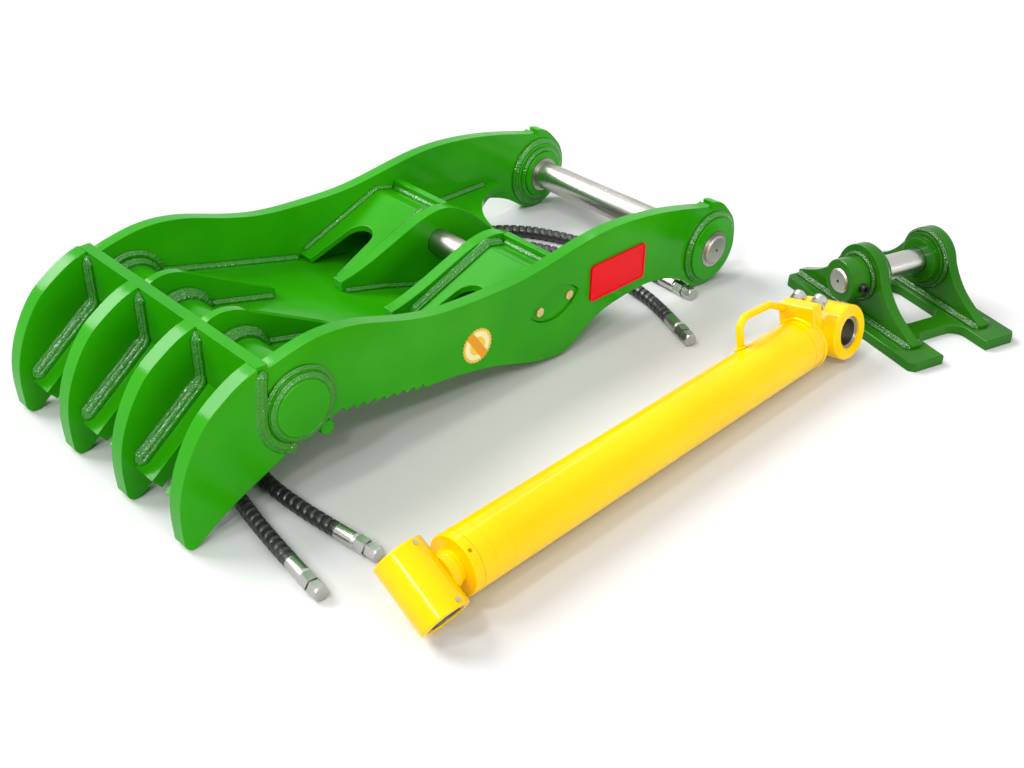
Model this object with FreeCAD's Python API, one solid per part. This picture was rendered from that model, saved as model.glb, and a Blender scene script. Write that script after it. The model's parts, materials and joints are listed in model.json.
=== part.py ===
import FreeCAD, Part
import math
import os
from FreeCAD import Placement, Rotation, Vector

os.makedirs("parts", exist_ok=True)

# Hydraulic thumb kit laid out on a floor, in millimetres. The drawing frame has X from the tine tips
# back to the pivot ears, Y across from the near outer face, Z up from the floor. The saved frame has
# its origin at the middle of the main pivot pin.

# Thumb overall
TINE_PITCH = 166.67
TINE_COUNT = 4
TINE_THICK = 30.0
WIDTH = TINE_PITCH * (TINE_COUNT - 1) + TINE_THICK
MIDDLE = WIDTH / 2
SIDE_THICK = 25.0
SIDE_RECESS = 5.0
GUSSET_THICK = 16.0
FLOOR_THICK = 16.0
NEAR_INSIDE = SIDE_RECESS + SIDE_THICK
FAR_INSIDE = WIDTH - NEAR_INSIDE

# Pivot ears and main pin
PIVOT_X = 1230.0
PIVOT_Z = 85.0
EAR_RADIUS = PIVOT_Z
EAR_LIP = 98.0
LIP_SLOT_WIDTH = 10.0
LIP_SLOT_DEPTH = 15.0
MAIN_PIN_DIA = 60.0
MAIN_PIN_PROUD = 7.0
PIN_CHAMFER = 3.0
CENTRE_HOLE_DIA = 6.0
CENTRE_HOLE_DEPTH = 10.0
RUNNING_CLEARANCE = 0.05
BUSH_WALL = 7.5
BUSH_PROUD = 1.0
BOSS_WALL = 14.0
BOSS_FLANGE_DIA = 132.0
BOSS_OUTER_FLANGE = 14.0
BOSS_INNER_FLANGE = 12.0
BOSS_INNER_STEP = 12.0

# Cross tube behind the comb
TUBE_X = 215.0
TUBE_Z = 165.0
TUBE_DIA = 100.0
TUBE_WALL = 12.0
TUBE_PROUD = 15.0
TUBE_CAP_THICK = 8.0
COLLAR_WALL = 11.0
COLLAR_THICK = 7.0
COLLAR_WELD_GAP = 4.0
JOINT_LOW = -104.0
JOINT_REAR = -62.0

# Comb plate, tines and fins
COMB_THICK = 20.0
COMB_TOP = 262.0
TINE_TOP = COMB_TOP
FINGER_THICK = 25.0
FINGER_SLOPE = 37.8
FINGER_FRONT_X = 9.0
FINGER_CORNER = 14.0
SLOT_WIDTH = 36.0
SLOT_END_X = 93.0
TINE_TIP_RADIUS = 17.0
TINE_TIP_X = 5.0
FIN_END_X = 408.0
FIN_END_HEIGHT = 16.0
LOWER_BAR_DIA = 26.0
LOWER_BAR_PROUD = 8.0
LOWER_BAR_X = 260.0
LOWER_BAR_Z = 104.0

# Serrated jaw edge
TOOTH_PITCH = 21.0
TOOTH_COUNT = 9
TOOTH_DEPTH = 9.0
TOOTH_FIRST_X = 282.0

# Floor, rear wing, clevis and covers
FLOOR_FRONT_X = 262.0
FLOOR_BEND = 30.0
BELLY_Z = 54.0
WING_Z = 102.0
WING_X = 908.0
WING_SETBACK = 128.0
WING_CUT_DEPTH = 150.0
WING_HORN = 26.0
ROD_PIN_X = 782.0
ROD_PIN_Z = 129.0
ROD_PIN_DIA = 50.0
EYE_SIDE_CLEARANCE = 2.5
CLEVIS_THICK = 25.0
CLEVIS_TOE_X = 544.0
CLEVIS_TAIL_X = 925.0
CLEVIS_BOSS_DIA = 84.0
CLEVIS_BOSS_THICK = 10.0
COVER_THICK = 12.0
COVER_FRONT_X = 575.0
COVER_SLOT_WIDTH = 66.0
COVER_SLOT_END_X = 690.0
RIDGE_X = 768.0
RIDGE_Z = 184.0
RIM_X = 816.0
RIM_TOP = 189.0
RIM_THICK = 14.0

# Rod pin keeper, bare name plate and round seal
KEEPER_LENGTH = 126.0
KEEPER_WIDTH = 66.0
KEEPER_THICK = 8.0
KEEPER_DEPTH = 5.0
KEEPER_TILT = 6.0
KEEPER_GAP = 0.6
KEEPER_BOLT_SPAN = 76.0
KEEPER_BOLT_DIA = 10.0
KEEPER_HEAD_DIA = 17.0
KEEPER_HEAD_THICK = 5.0
PLATE_X = 948.0
PLATE_Z = 131.0
PLATE_LENGTH = 150.0
PLATE_HEIGHT = 74.0
PLATE_THICK = 5.0
PLATE_BORDER = 3.0
PLATE_BORDER_DEPTH = 1.5
SEAL_X = 589.0
SEAL_Z = 116.0
SEAL_DIA = 68.0
SEAL_THICK = 1.0
SEAL_SCALLOPS = 28
SEAL_SCALLOP_DEPTH = 2.4

# Cylinder, measured along its axis from the rod eye
ROD_EYE_X = 155.6
ROD_EYE_Y = -348.8
CYLINDER_YAW = 1.468
BARREL_ROLL = -12.0
ROD_ROLL = 30.0
PIN_TO_PIN = 1022.0
BARREL_DIA = 100.0
BORE_DIA = 80.0
ROD_DIA = 55.0
ROD_EYE_DIA = 84.0
ROD_EYE_LENGTH = 117.0
EYE_PIN_DIA = 50.0
EYE_BUSH_WALL = 6.0
NECK_DIA = 62.0
NECK_END = 52.0
GLAND_FACE = 60.0
GLAND_FLANGE = 17.0
GLAND_CLEARANCE = 0.2
ROD_SEAL_WIDTH = 8.0
ROD_SEAL_DEPTH = 5.0
PISTON_LENGTH = 45.0
PISTON_CLEARANCE = 0.3
PISTON_SEAL_WIDTH = 10.0
PISTON_SEAL_DEPTH = 5.0
SEAL_CLEARANCE = 0.1
PISTON_NUT_LENGTH = 22.0
PISTON_NUT_DIA = 60.0
STROKE = 700.0
STOP_GAP = 4.0
BOTTOM_GAP = 6.0
CAP_PLATE = 30.0
CAP_TAPER = 28.0
CAP_NECK_DIA = 78.0
CAP_EYE_DIA = 104.0
CAP_EYE_WIDTH = 100.0
ROD_EYE_CHAMFER = 2.0
CAP_EYE_CHAMFER = 2.5
SNAP_RING_WIDTH = 2.5
SNAP_RING_DEPTH = 3.0

# Port block, adapters and lifting handle on the barrel
BLOCK_FROM_EYE = 62.0
BLOCK_LENGTH = 28.0
BLOCK_WIDTH = 72.0
BLOCK_SIDE = 5.0
BLOCK_TOP = 78.0
BLOCK_SEAT = 42.0
ADAPTER_SPAN = 44.0
ADAPTER_HEX = 24.0
ADAPTER_LENGTH = 14.0
ADAPTER_RISE = 28.0
ADAPTER_UP = 65.0
PLUG_DIA = 27.0
PLUG_LENGTH = 13.0
HANDLE_DIA = 14.0
HANDLE_LENGTH = 142.0
HANDLE_SIDE = 24.0
HANDLE_TOP = 100.0
HANDLE_BEND = 22.0
HANDLE_START_UP = 68.0
NIPPLE_DIA = 7.0
NIPPLE_HEIGHT = 3.0

# Weld-on bracket for the far end of the cylinder
BRACKET_X = 1246.0
BRACKET_Y = -474.0
BRACKET_YAW = -16.5
BASE_WIDTH = 262.0
BASE_LENGTH = 382.0
BASE_THICK = 20.0
BASE_CORNER = 10.0
BASE_NOTCH_WIDTH = 108.0
BASE_NOTCH_DEPTH = 80.0
BASE_WINDOW_LENGTH = 140.0
BASE_WINDOW_RADIUS = 26.0
BRACKET_EAR_THICK = 22.0
BRACKET_PIN_FROM_END = 212.0
BRACKET_PIN_Z = 95.0
BRACKET_EAR_RADIUS = 62.0
BRACKET_FOOT = 340.0
BRACKET_BOSS_DIA = 108.0
BRACKET_BOSS_STEP_DIA = 88.0
BRACKET_BOSS_LENGTH = 22.5
COLLAR_OUT_DIA = 84.0
COLLAR_OUT_LENGTH = 48.0
BRACKET_PIN_PROUD = 4.0
LOCK_BOLT_DIA = 12.0
LOCK_HEAD_DIA = 18.0
LOCK_HEAD_THICK = 10.0
LOCK_NUT_FLATS = 19.0
LOCK_NUT_THICK = 10.0

# Pressure hoses with spiral guard, lying on the floor
HOSE_DIA = 26.0
FERRULE_LENGTH = 40.0
FERRULE_WAIST = 11.0
SWIVEL_FLATS = 26.0
SWIVEL_LENGTH = 20.0
HOSE_PLUG_FLATS = 24.0
HOSE_PLUG_LENGTH = 20.0
FITTING_GAP = 3.0
BEND_SHARE = 0.45

HOSE_ROUTES = {
    "hose_1": [(180, -125), (169, -35), (170, 60), (192, 155), (252, 240), (360, 310),
               (520, 362), (700, 400), (860, 425), (975, 420), (1050, 360), (1088, 270),
               (1098, 170), (1090, 80), (1073, 5), (1048, -55)],
    "hose_2": [(85, -135), (96, -45), (114, 45), (136, 150), (195, 262), (305, 355),
               (470, 418), (660, 455), (850, 480), (990, 484), (1085, 430), (1138, 338),
               (1164, 240), (1168, 145), (1162, 62)],
}

# Values that follow from the ones above


def resting_height(dia, length, chamfer, roll):
    """Height of an eye's centre when its lowest rim touches the floor, rolled about the cylinder's axis."""
    a = math.radians(abs(roll))
    rim = dia / 2 * math.cos(a) + (length / 2 - chamfer) * math.sin(a)
    return max(rim, (dia / 2 - chamfer) * math.cos(a) + length / 2 * math.sin(a))


INNER_TINE_PLACES = [TINE_PITCH * i for i in range(1, TINE_COUNT - 1)]
BAY_MIDDLES = [TINE_PITCH * i + (TINE_PITCH + TINE_THICK) / 2 for i in range(TINE_COUNT - 1)]
COMB_X = TUBE_X - TUBE_DIA / 2 - COMB_THICK
CLEVIS_HALF_GAP = ROD_EYE_LENGTH / 2 + EYE_SIDE_CLEARANCE
CLEVIS_NEAR_Y = MIDDLE - CLEVIS_HALF_GAP - CLEVIS_THICK
CLEVIS_FAR_Y = MIDDLE + CLEVIS_HALF_GAP
BUSH_DIA = MAIN_PIN_DIA + 2 * BUSH_WALL
BOSS_CORE_DIA = BUSH_DIA + 2 * BOSS_WALL
FINGER_TAN = math.tan(math.radians(FINGER_SLOPE))
FINGER_TOP_Z = BELLY_Z + 112.0
PISTON_END = PIN_TO_PIN - CAP_EYE_DIA / 2 - CAP_TAPER - CAP_PLATE - BOTTOM_GAP
COLLAR_DIA = TUBE_DIA + 2 * COLLAR_WALL
JOINT_RADIUS = TUBE_DIA / 2 + COMB_THICK
WING_END_X = PIVOT_X - WING_SETBACK
BRACKET_GAP = CAP_EYE_WIDTH + 2 * EYE_SIDE_CLEARANCE + 2 * BRACKET_BOSS_LENGTH
BRACKET_EAR_EDGE = (BASE_WIDTH - BRACKET_GAP) / 2 - BRACKET_EAR_THICK
ROD_EYE_Z = resting_height(ROD_EYE_DIA, ROD_EYE_LENGTH, ROD_EYE_CHAMFER, ROD_ROLL)
CAP_EYE_Z = resting_height(CAP_EYE_DIA, CAP_EYE_WIDTH, CAP_EYE_CHAMFER, BARREL_ROLL)
CYLINDER_PITCH = math.degrees(math.asin((ROD_EYE_Z - CAP_EYE_Z) / PIN_TO_PIN))
GLAND_LENGTH = PISTON_END - PISTON_NUT_LENGTH - PISTON_LENGTH - STROKE - STOP_GAP - GLAND_FACE
ORIGIN = Vector(PIVOT_X, MIDDLE, PIVOT_Z)
EVERYTHING = 4000.0


def save(name, shape):
    """Moves a finished solid to the saved frame and writes it under its node's name."""
    out = shape.copy()
    out.translate(ORIGIN * -1)
    out.exportStep(f"parts/{name}.step")


def point(x, z, y=0.0):
    return Vector(x, y, z)


class Outline:
    """A closed outline in the XZ plane, drawn edge by edge."""

    def __init__(self, x, z):
        self.first = point(x, z)
        self.here = self.first
        self.edges = []

    def line(self, x, z):
        there = point(x, z)
        if there.distanceToPoint(self.here) > 1e-6:
            self.edges.append(Part.makeLine(self.here, there))
        self.here = there
        return self

    def arc(self, mid, end):
        there = point(*end)
        self.edges.append(Part.Arc(self.here, point(*mid), there).toShape())
        self.here = there
        return self

    def curve(self, points):
        curve = Part.BSplineCurve()
        places = [self.here] + [point(x, z) for x, z in points]
        curve.interpolate(places)
        self.edges.append(curve.toShape())
        self.here = places[-1]
        return self

    def solid(self, y, thick):
        self.line(self.first.x, self.first.z)
        face = Part.Face(Part.Wire(self.edges))
        face.translate(Vector(0, y, 0))
        return face.extrude(Vector(0, thick, 0))


def polar(x, z, radius, degrees):
    a = math.radians(degrees)
    return (x + radius * math.cos(a), z + radius * math.sin(a))


def rod_y(x, z, dia, y, length):
    """A round bar or a hole cutter along Y."""
    return Part.makeCylinder(dia / 2, length, Vector(x, y, z), Vector(0, 1, 0))


def ring_y(x, z, outer, inner, y, length):
    return rod_y(x, z, outer, y, length).cut(rod_y(x, z, inner, y - 1, length + 2))


def mirrored(shape):
    """The same piece on the far side of the thumb's middle plane."""
    return shape.mirror(Vector(0, MIDDLE, 0), Vector(0, 1, 0))


def bent_plate(points, thick, bend, y, width):
    """A plate bent along Y. points is its upper line, front to back, and the plate lies below it."""
    n = len(points)
    legs = []
    for (x0, z0), (x1, z1) in zip(points, points[1:]):
        size = math.hypot(x1 - x0, z1 - z0)
        legs.append(((x1 - x0) / size, (z1 - z0) / size))

    def below(p, leg):
        return (p[0] + leg[1] * thick, p[1] - leg[0] * thick)

    upper = [("line", points[0])]
    lower = [("line", below(points[0], legs[0]))]
    for i in range(1, n - 1):
        a, b = legs[i - 1], legs[i]
        turn = math.atan2(a[0] * b[1] - a[1] * b[0], a[0] * b[0] + a[1] * b[1])
        radius = bend if turn > 0 else bend + thick
        back = radius * math.tan(abs(turn) / 2)
        start = (points[i][0] - a[0] * back, points[i][1] - a[1] * back)
        end = (points[i][0] + b[0] * back, points[i][1] + b[1] * back)
        side = 1 if turn > 0 else -1
        centre = (start[0] - a[1] * radius * side, start[1] + a[0] * radius * side)
        out = (points[i][0] - centre[0], points[i][1] - centre[1])
        size = math.hypot(*out)
        out = (out[0] / size, out[1] / size)
        under = radius + thick * side
        upper += [("line", start), ("arc", (centre[0] + out[0] * radius, centre[1] + out[1] * radius), end)]
        mid = (centre[0] + out[0] * under, centre[1] + out[1] * under)
        lower += [("line", below(start, a)), ("arc", mid, below(end, b))]
    upper.append(("line", points[-1]))
    lower.append(("line", below(points[-1], legs[-1])))

    outline = Outline(*points[0])
    for step in upper[1:]:
        if step[0] == "line":
            outline.line(*step[1])
        else:
            outline.arc(step[1], step[2])
    outline.line(*lower[-1][1])
    back_steps = lower[:-1]
    for k in range(len(back_steps) - 1, -1, -1):
        step = back_steps[k]
        if step[0] == "arc":
            outline.line(*step[2])
            outline.arc(step[1], back_steps[k - 1][1])
        else:
            outline.line(*step[1])
    return outline.solid(y, width)


def hexagon(flats, length, at, along, turn=0.0):
    """A hexagon bar from a point along a direction."""
    r = flats / math.sqrt(3)
    corners = [Vector(r * math.cos(math.radians(60 * i)), r * math.sin(math.radians(60 * i)), 0)
               for i in range(7)]
    bar = Part.Face(Part.makePolygon(corners)).extrude(Vector(0, 0, length))
    spin = Rotation(Vector(0, 0, 1), turn)
    bar.Placement = Placement(at, Rotation(Vector(0, 0, 1), along).multiply(spin))
    return bar


# Comb: tines, bent comb plate, cross tube, fins and lower bar


def tine(y, outer):
    """A curved tine. The outer ones end on the side plate's round joint, the inner ones on the tube."""
    tip_x, tip_z, r = TINE_TIP_X, TINE_TIP_RADIUS, TINE_TIP_RADIUS
    outline = Outline(COMB_X, TINE_TOP)
    outline.curve([(109, 249), (80, 232), (52, 211), (29, 183), (11, 152), (-4, 115), (-12, 74),
                   (-13, 45), polar(tip_x, tip_z, r, 172)])
    outline.arc(polar(tip_x, tip_z, r, -100), polar(tip_x, tip_z, r, -53))
    if outer:
        outline.curve([(66, 37), (120, 63), joint_place(JOINT_LOW)])
        outline.arc(joint_place(-140), joint_place(180))
    else:
        radius = TUBE_DIA / 2
        outline.curve([(66, 37), (120, 63), (180, 91), joint_place(JOINT_REAR)])
        outline.line(*polar(TUBE_X, TUBE_Z, radius, JOINT_REAR))
        outline.arc(polar(TUBE_X, TUBE_Z, radius, -120), (TUBE_X - radius, TUBE_Z))
        outline.line(COMB_X, TUBE_Z)
    return outline.solid(y, TINE_THICK)


def joint_place(degrees):
    """A point on the round joint between an outer tine and its side plate."""
    return polar(TUBE_X, TUBE_Z, JOINT_RADIUS, degrees)


def comb_plate(tines):
    """The upright web and the four fingers, bent from one plate and slotted between the tines."""
    x = COMB_X
    slope = math.radians(FINGER_SLOPE)
    web = Outline(x, FINGER_TOP_Z - FINGER_THICK).line(x + COMB_THICK, FINGER_TOP_Z - FINGER_THICK)
    web.line(x + COMB_THICK, COMB_TOP).line(x, COMB_TOP)
    shape = web.solid(SIDE_RECESS, WIDTH - 2 * SIDE_RECESS)
    front_z = FINGER_TOP_Z - (x - FINGER_FRONT_X) * FINGER_TAN
    dx = FINGER_THICK * math.sin(slope)
    dz = FINGER_THICK * math.cos(slope)
    drop = (x + COMB_THICK - (x + dx)) * FINGER_TAN
    fingers = Outline(FINGER_FRONT_X, front_z).line(x, FINGER_TOP_Z)
    fingers.line(x + COMB_THICK, FINGER_TOP_Z).line(x + COMB_THICK, FINGER_TOP_Z - dz + drop)
    fingers.line(FINGER_FRONT_X + dx, front_z - dz)
    shape = shape.fuse(fingers.solid(NEAR_INSIDE, FAR_INSIDE - NEAR_INSIDE))
    for middle in BAY_MIDDLES:
        end = SLOT_END_X - SLOT_WIDTH / 2
        slot = Part.makeBox(end + 100, SLOT_WIDTH, 400, Vector(-100, middle - SLOT_WIDTH / 2, -100))
        shape = shape.cut(slot)
        shape = shape.cut(Part.makeCylinder(SLOT_WIDTH / 2, 400, Vector(end, middle, -100)))
    for piece in tines:
        shape = shape.cut(piece)
    shape = shape.cut(tube_space()).cut(end_space())
    return shape.removeSplitter()


def end_space():
    """Room for the outer tines and side plates outside the comb's fingers."""
    low = Part.makeBox(COMB_X + COMB_THICK + 50, NEAR_INSIDE, FINGER_TOP_Z + 50,
                       Vector(-50, 0, -50))
    return low.fuse(mirrored(low))


def tube_space():
    return rod_y(TUBE_X, TUBE_Z, TUBE_DIA, -EVERYTHING / 2, EVERYTHING)


def cross_tube():
    """Thick tube through both side plates, closed by a disc at each end."""
    length = WIDTH - 2 * SIDE_RECESS + 2 * TUBE_PROUD
    y = SIDE_RECESS - TUBE_PROUD
    tube = rod_y(TUBE_X, TUBE_Z, TUBE_DIA, y, length)
    tube = tube.makeChamfer(2.0, [e for e in tube.Edges if e.Closed])
    bore = rod_y(TUBE_X, TUBE_Z, TUBE_DIA - 2 * TUBE_WALL, y + TUBE_CAP_THICK, length - 2 * TUBE_CAP_THICK)
    return tube.cut(bore)


def tube_collars():
    """Rings round the tube on both faces of each side plate."""
    places = [SIDE_RECESS - COLLAR_THICK, NEAR_INSIDE]
    rings = [ring_y(TUBE_X, TUBE_Z, COLLAR_DIA, TUBE_DIA, y, COLLAR_THICK) for y in places]
    opening = comb_band()
    opening.translate(Vector(COLLAR_WELD_GAP, 0, 0))
    rings[1] = rings[1].cut(opening)
    rings += [mirrored(r) for r in rings]
    return Part.makeCompound(rings)


def comb_band():
    """Everything in front of the comb's rear face."""
    return Part.makeBox(EVERYTHING, EVERYTHING, EVERYTHING,
                        Vector(COMB_X + COMB_THICK - EVERYTHING, -EVERYTHING / 2, -EVERYTHING / 2))


def fin(y):
    """A tapering fin that carries each inner tine back over the tube on to the floor plate."""
    x = COMB_X + COMB_THICK
    outline = Outline(x, COMB_TOP - 8)
    outline.curve([(x + 24, COMB_TOP), (x + 56, COMB_TOP - 3), (x + 88, COMB_TOP - 20)])
    end_z = floor_height(FIN_END_X)
    outline.line(FIN_END_X, end_z + FIN_END_HEIGHT).line(FIN_END_X, end_z - 40)
    outline.line(x, end_z - 40)
    shape = outline.solid(y, GUSSET_THICK)
    shape = shape.cut(tube_space()).cut(floor_space()).cut(comb_band())
    return max(shape.Solids, key=lambda s: s.Volume)


def lower_bar():
    length = WIDTH - 2 * SIDE_RECESS + 2 * LOWER_BAR_PROUD
    bar = rod_y(LOWER_BAR_X, LOWER_BAR_Z, LOWER_BAR_DIA, SIDE_RECESS - LOWER_BAR_PROUD, length)
    return bar.makeChamfer(1.5, [e for e in bar.Edges if e.Closed])


# Side plates with the S-shaped back, serrated jaw edge and pivot ears


def serrations():
    """Saw teeth along the rising jaw edge, cut from below."""
    points = []
    for i in range(TOOTH_COUNT + 1):
        x = TOOTH_FIRST_X + TOOTH_PITCH * i
        z = jaw_height(x)
        points.append((x, z))
        if i < TOOTH_COUNT:
            points.append((x + TOOTH_PITCH * 0.78, jaw_height(x + TOOTH_PITCH) + TOOTH_DEPTH))
    return points


def jaw_height(x):
    """Height of the jaw edge under the serrations, a shallow rise towards the tines."""
    share = (TOOTH_FIRST_X + TOOTH_PITCH * TOOTH_COUNT - x) / (TOOTH_PITCH * TOOTH_COUNT)
    return 82 + 34 * share


def side_plate():
    """Near side plate: S-curved top, round pivot ear on the floor, belly and serrated jaw edge."""
    px, pz = PIVOT_X, PIVOT_Z
    x = COMB_X + COMB_THICK
    outline = Outline(*joint_place(JOINT_REAR))
    outline.line(*joint_place(JOINT_LOW))
    outline.arc(joint_place(-140), joint_place(180))
    outline.line(TUBE_X - JOINT_RADIUS, FINGER_TOP_Z).line(x, FINGER_TOP_Z).line(x, 252)
    outline.curve([(205, 262), (250, 269), (342, 259), (410, 237), (502, 214), (600, 206), (700, 205),
                   (800, 217), (899, 228), (985, 225), (1074, 212), (1150, 195), (px - 20, pz + 94)])
    lip = polar(px, pz, EAR_LIP, 90)
    outline.line(*lip)
    outline.curve([polar(px, pz, EAR_LIP - 3, 75), polar(px, pz, EAR_RADIUS + 2, 55),
                   polar(px, pz, EAR_RADIUS, 35)])
    outline.arc(polar(px, pz, EAR_RADIUS, -45), polar(px, pz, EAR_RADIUS, -128))
    outline.curve([(1142, 42), (1093, 61), (1031, 71), (960, 67), (903, 56), (860, 33), (822, 14)])
    outline.arc((804, 8.5), (785, 11))
    teeth = serrations()
    outline.curve([(698, 32), (641, 52), (592, 64), (540, 74), teeth[-1]])
    for p in reversed(teeth[:-1]):
        outline.line(*p)
    shape = outline.solid(SIDE_RECESS, SIDE_THICK)
    slot_x, slot_z = px - LIP_SLOT_WIDTH, pz + EAR_LIP - LIP_SLOT_DEPTH
    shape = shape.cut(Part.makeBox(LIP_SLOT_WIDTH, EVERYTHING, 60, Vector(slot_x, -EVERYTHING / 2, slot_z)))
    shape = shape.cut(tube_space()).cut(rod_y(px, pz, BOSS_CORE_DIA, -10, 100))
    shape = shape.cut(rod_y(LOWER_BAR_X, LOWER_BAR_Z, LOWER_BAR_DIA, -10, 100))
    return shape


def leaf(length, width, y, thick):
    """A pointed leaf of two equal arcs, tilted along the side plate."""
    half, rise = length / 2, width / 2
    outline = Outline(-half, 0).arc((0, rise), (half, 0)).arc((0, -rise), (-half, 0))
    shape = outline.solid(y, thick)
    shape.rotate(Vector(0, 0, 0), Vector(0, 1, 0), -KEEPER_TILT)
    shape.translate(Vector(ROD_PIN_X, 0, ROD_PIN_Z - 4))
    return shape


def keeper_bolt_places():
    a = math.radians(KEEPER_TILT)
    half = KEEPER_BOLT_SPAN / 2
    return [(ROD_PIN_X + s * half * math.cos(a), ROD_PIN_Z - 4 + s * half * math.sin(a)) for s in (-1, 1)]


def near_side_plate():
    """The near plate also has the leaf-shaped recess that the rod pin goes in through."""
    depth = KEEPER_DEPTH + KEEPER_THICK
    shape = side_plate().cut(leaf(KEEPER_LENGTH, KEEPER_WIDTH, SIDE_RECESS - 1, depth + 1))
    shape = shape.cut(rod_y(ROD_PIN_X, ROD_PIN_Z, ROD_PIN_DIA, -10, 60))
    for x, z in keeper_bolt_places():
        shape = shape.cut(rod_y(x, z, KEEPER_BOLT_DIA, -10, 60))
    return shape


def pin_keeper():
    y = SIDE_RECESS + KEEPER_DEPTH
    shape = leaf(KEEPER_LENGTH - 6 * KEEPER_GAP, KEEPER_WIDTH - 2 * KEEPER_GAP, y, KEEPER_THICK)
    for x, z in keeper_bolt_places():
        shape = shape.cut(rod_y(x, z, KEEPER_BOLT_DIA, y - 1, KEEPER_THICK + 2))
    return shape


def keeper_bolts():
    y = SIDE_RECESS + KEEPER_DEPTH
    bolts = []
    for x, z in keeper_bolt_places():
        head = hexagon(KEEPER_HEAD_DIA, KEEPER_HEAD_THICK, point(x, z, y), Vector(0, -1, 0), 20)
        shank = rod_y(x, z, KEEPER_BOLT_DIA, y, SIDE_THICK - KEEPER_DEPTH)
        bolts.append(head.fuse(shank).removeSplitter())
    return Part.makeCompound(bolts)


# Pivot: welded bosses, steel bushes and the long pin


def pivot_boss():
    """Stepped boss through the near ear, with a flange welded on each face."""
    y0 = SIDE_RECESS - BOSS_OUTER_FLANGE
    y1 = NEAR_INSIDE
    body = rod_y(PIVOT_X, PIVOT_Z, BOSS_CORE_DIA, y0, boss_end() - y0)
    outer = rod_y(PIVOT_X, PIVOT_Z, BOSS_FLANGE_DIA, y0, BOSS_OUTER_FLANGE)
    inner = rod_y(PIVOT_X, PIVOT_Z, BOSS_FLANGE_DIA, y1, BOSS_INNER_FLANGE)
    return body.fuse([outer, inner]).cut(rod_y(PIVOT_X, PIVOT_Z, BUSH_DIA, y0 - 5, 200)).removeSplitter()


def boss_end():
    return NEAR_INSIDE + BOSS_INNER_FLANGE + BOSS_INNER_STEP


def pivot_bushes():
    y0 = SIDE_RECESS - BOSS_OUTER_FLANGE - BUSH_PROUD
    length = boss_end() + BUSH_PROUD - y0
    bush = ring_y(PIVOT_X, PIVOT_Z, BUSH_DIA, MAIN_PIN_DIA + 2 * RUNNING_CLEARANCE, y0, length)
    return Part.makeCompound([bush, mirrored(bush)])


def plain_pin(x, z, dia, y, length):
    """A turned pin with chamfered ends and a centre hole in each."""
    pin = rod_y(x, z, dia, y, length)
    pin = pin.makeChamfer(PIN_CHAMFER, [e for e in pin.Edges if e.Closed])
    for place in (y, y + length - CENTRE_HOLE_DEPTH):
        pin = pin.cut(rod_y(x, z, CENTRE_HOLE_DIA, place, CENTRE_HOLE_DEPTH))
    return pin


def main_pin():
    proud = BOSS_OUTER_FLANGE - SIDE_RECESS + BUSH_PROUD + MAIN_PIN_PROUD
    return plain_pin(PIVOT_X, PIVOT_Z, MAIN_PIN_DIA, -proud, WIDTH + 2 * proud)


# Inside: floor plate, rear wing, clevis plates, covers and rims


def floor_line():
    """Upper line of the floor plate, from the tube down to the belly and up to the rear wing."""
    return [(FLOOR_FRONT_X, 180), (640, BELLY_Z + 26), (720, BELLY_Z), (820, BELLY_Z), (WING_X, WING_Z)]


def floor_height(x):
    line = floor_line()
    for (x0, z0), (x1, z1) in zip(line, line[1:]):
        if x <= x1:
            return z0 + (z1 - z0) * (x - x0) / (x1 - x0)
    return line[-1][1]


def floor_plate():
    shape = bent_plate(floor_line(), FLOOR_THICK, FLOOR_BEND, NEAR_INSIDE, FAR_INSIDE - NEAR_INSIDE)
    ring = rod_y(TUBE_X, TUBE_Z, COLLAR_DIA, NEAR_INSIDE, COLLAR_THICK)
    return shape.cut([ring, mirrored(ring), tube_space()])


def wing_plate():
    """Flat rear plate with a wide round cut-out open to the rear, leaving a horn at each side."""
    outline = Outline(WING_X, WING_Z).line(WING_END_X, WING_Z)
    outline.line(WING_END_X, WING_Z - FLOOR_THICK).line(WING_X + FLOOR_THICK * 0.31, WING_Z - FLOOR_THICK)
    shape = outline.solid(NEAR_INSIDE, FAR_INSIDE - NEAR_INSIDE)
    shape = shape.cut(floor_plate())
    half = (FAR_INSIDE - NEAR_INSIDE) / 2 - WING_HORN
    deep = WING_CUT_DEPTH
    path = [Vector(WING_END_X + 1, MIDDLE - half, 0), Vector(WING_END_X - deep * 0.62, MIDDLE - half + 34, 0),
            Vector(WING_END_X - deep, MIDDLE - half + 110, 0), Vector(WING_END_X - deep, MIDDLE + half - 110, 0),
            Vector(WING_END_X - deep * 0.62, MIDDLE + half - 34, 0), Vector(WING_END_X + 1, MIDDLE + half, 0)]
    curve = Part.BSplineCurve()
    curve.interpolate(path)
    face = Part.Face(Part.Wire([curve.toShape(), Part.makeLine(path[-1], path[0])]))
    return shape.cut(face.extrude(Vector(0, 0, EVERYTHING / 4)))


def floor_space():
    """All that lies under the upper face of the floor and wing plates."""
    y, wide, deep = -EVERYTHING / 4, EVERYTHING / 2, EVERYTHING / 4
    plate = bent_plate(floor_line(), FLOOR_THICK, FLOOR_BEND, y, wide)
    wing = Part.makeBox(deep, wide, deep + WING_Z, Vector(WING_X, y, -deep))
    outline = Outline(FLOOR_FRONT_X, -deep)
    for x, z in floor_line():
        outline.line(x, z - FLOOR_THICK / 2)
    outline.line(WING_X, -deep)
    return plate.fuse([wing, outline.solid(y, wide)])


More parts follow.
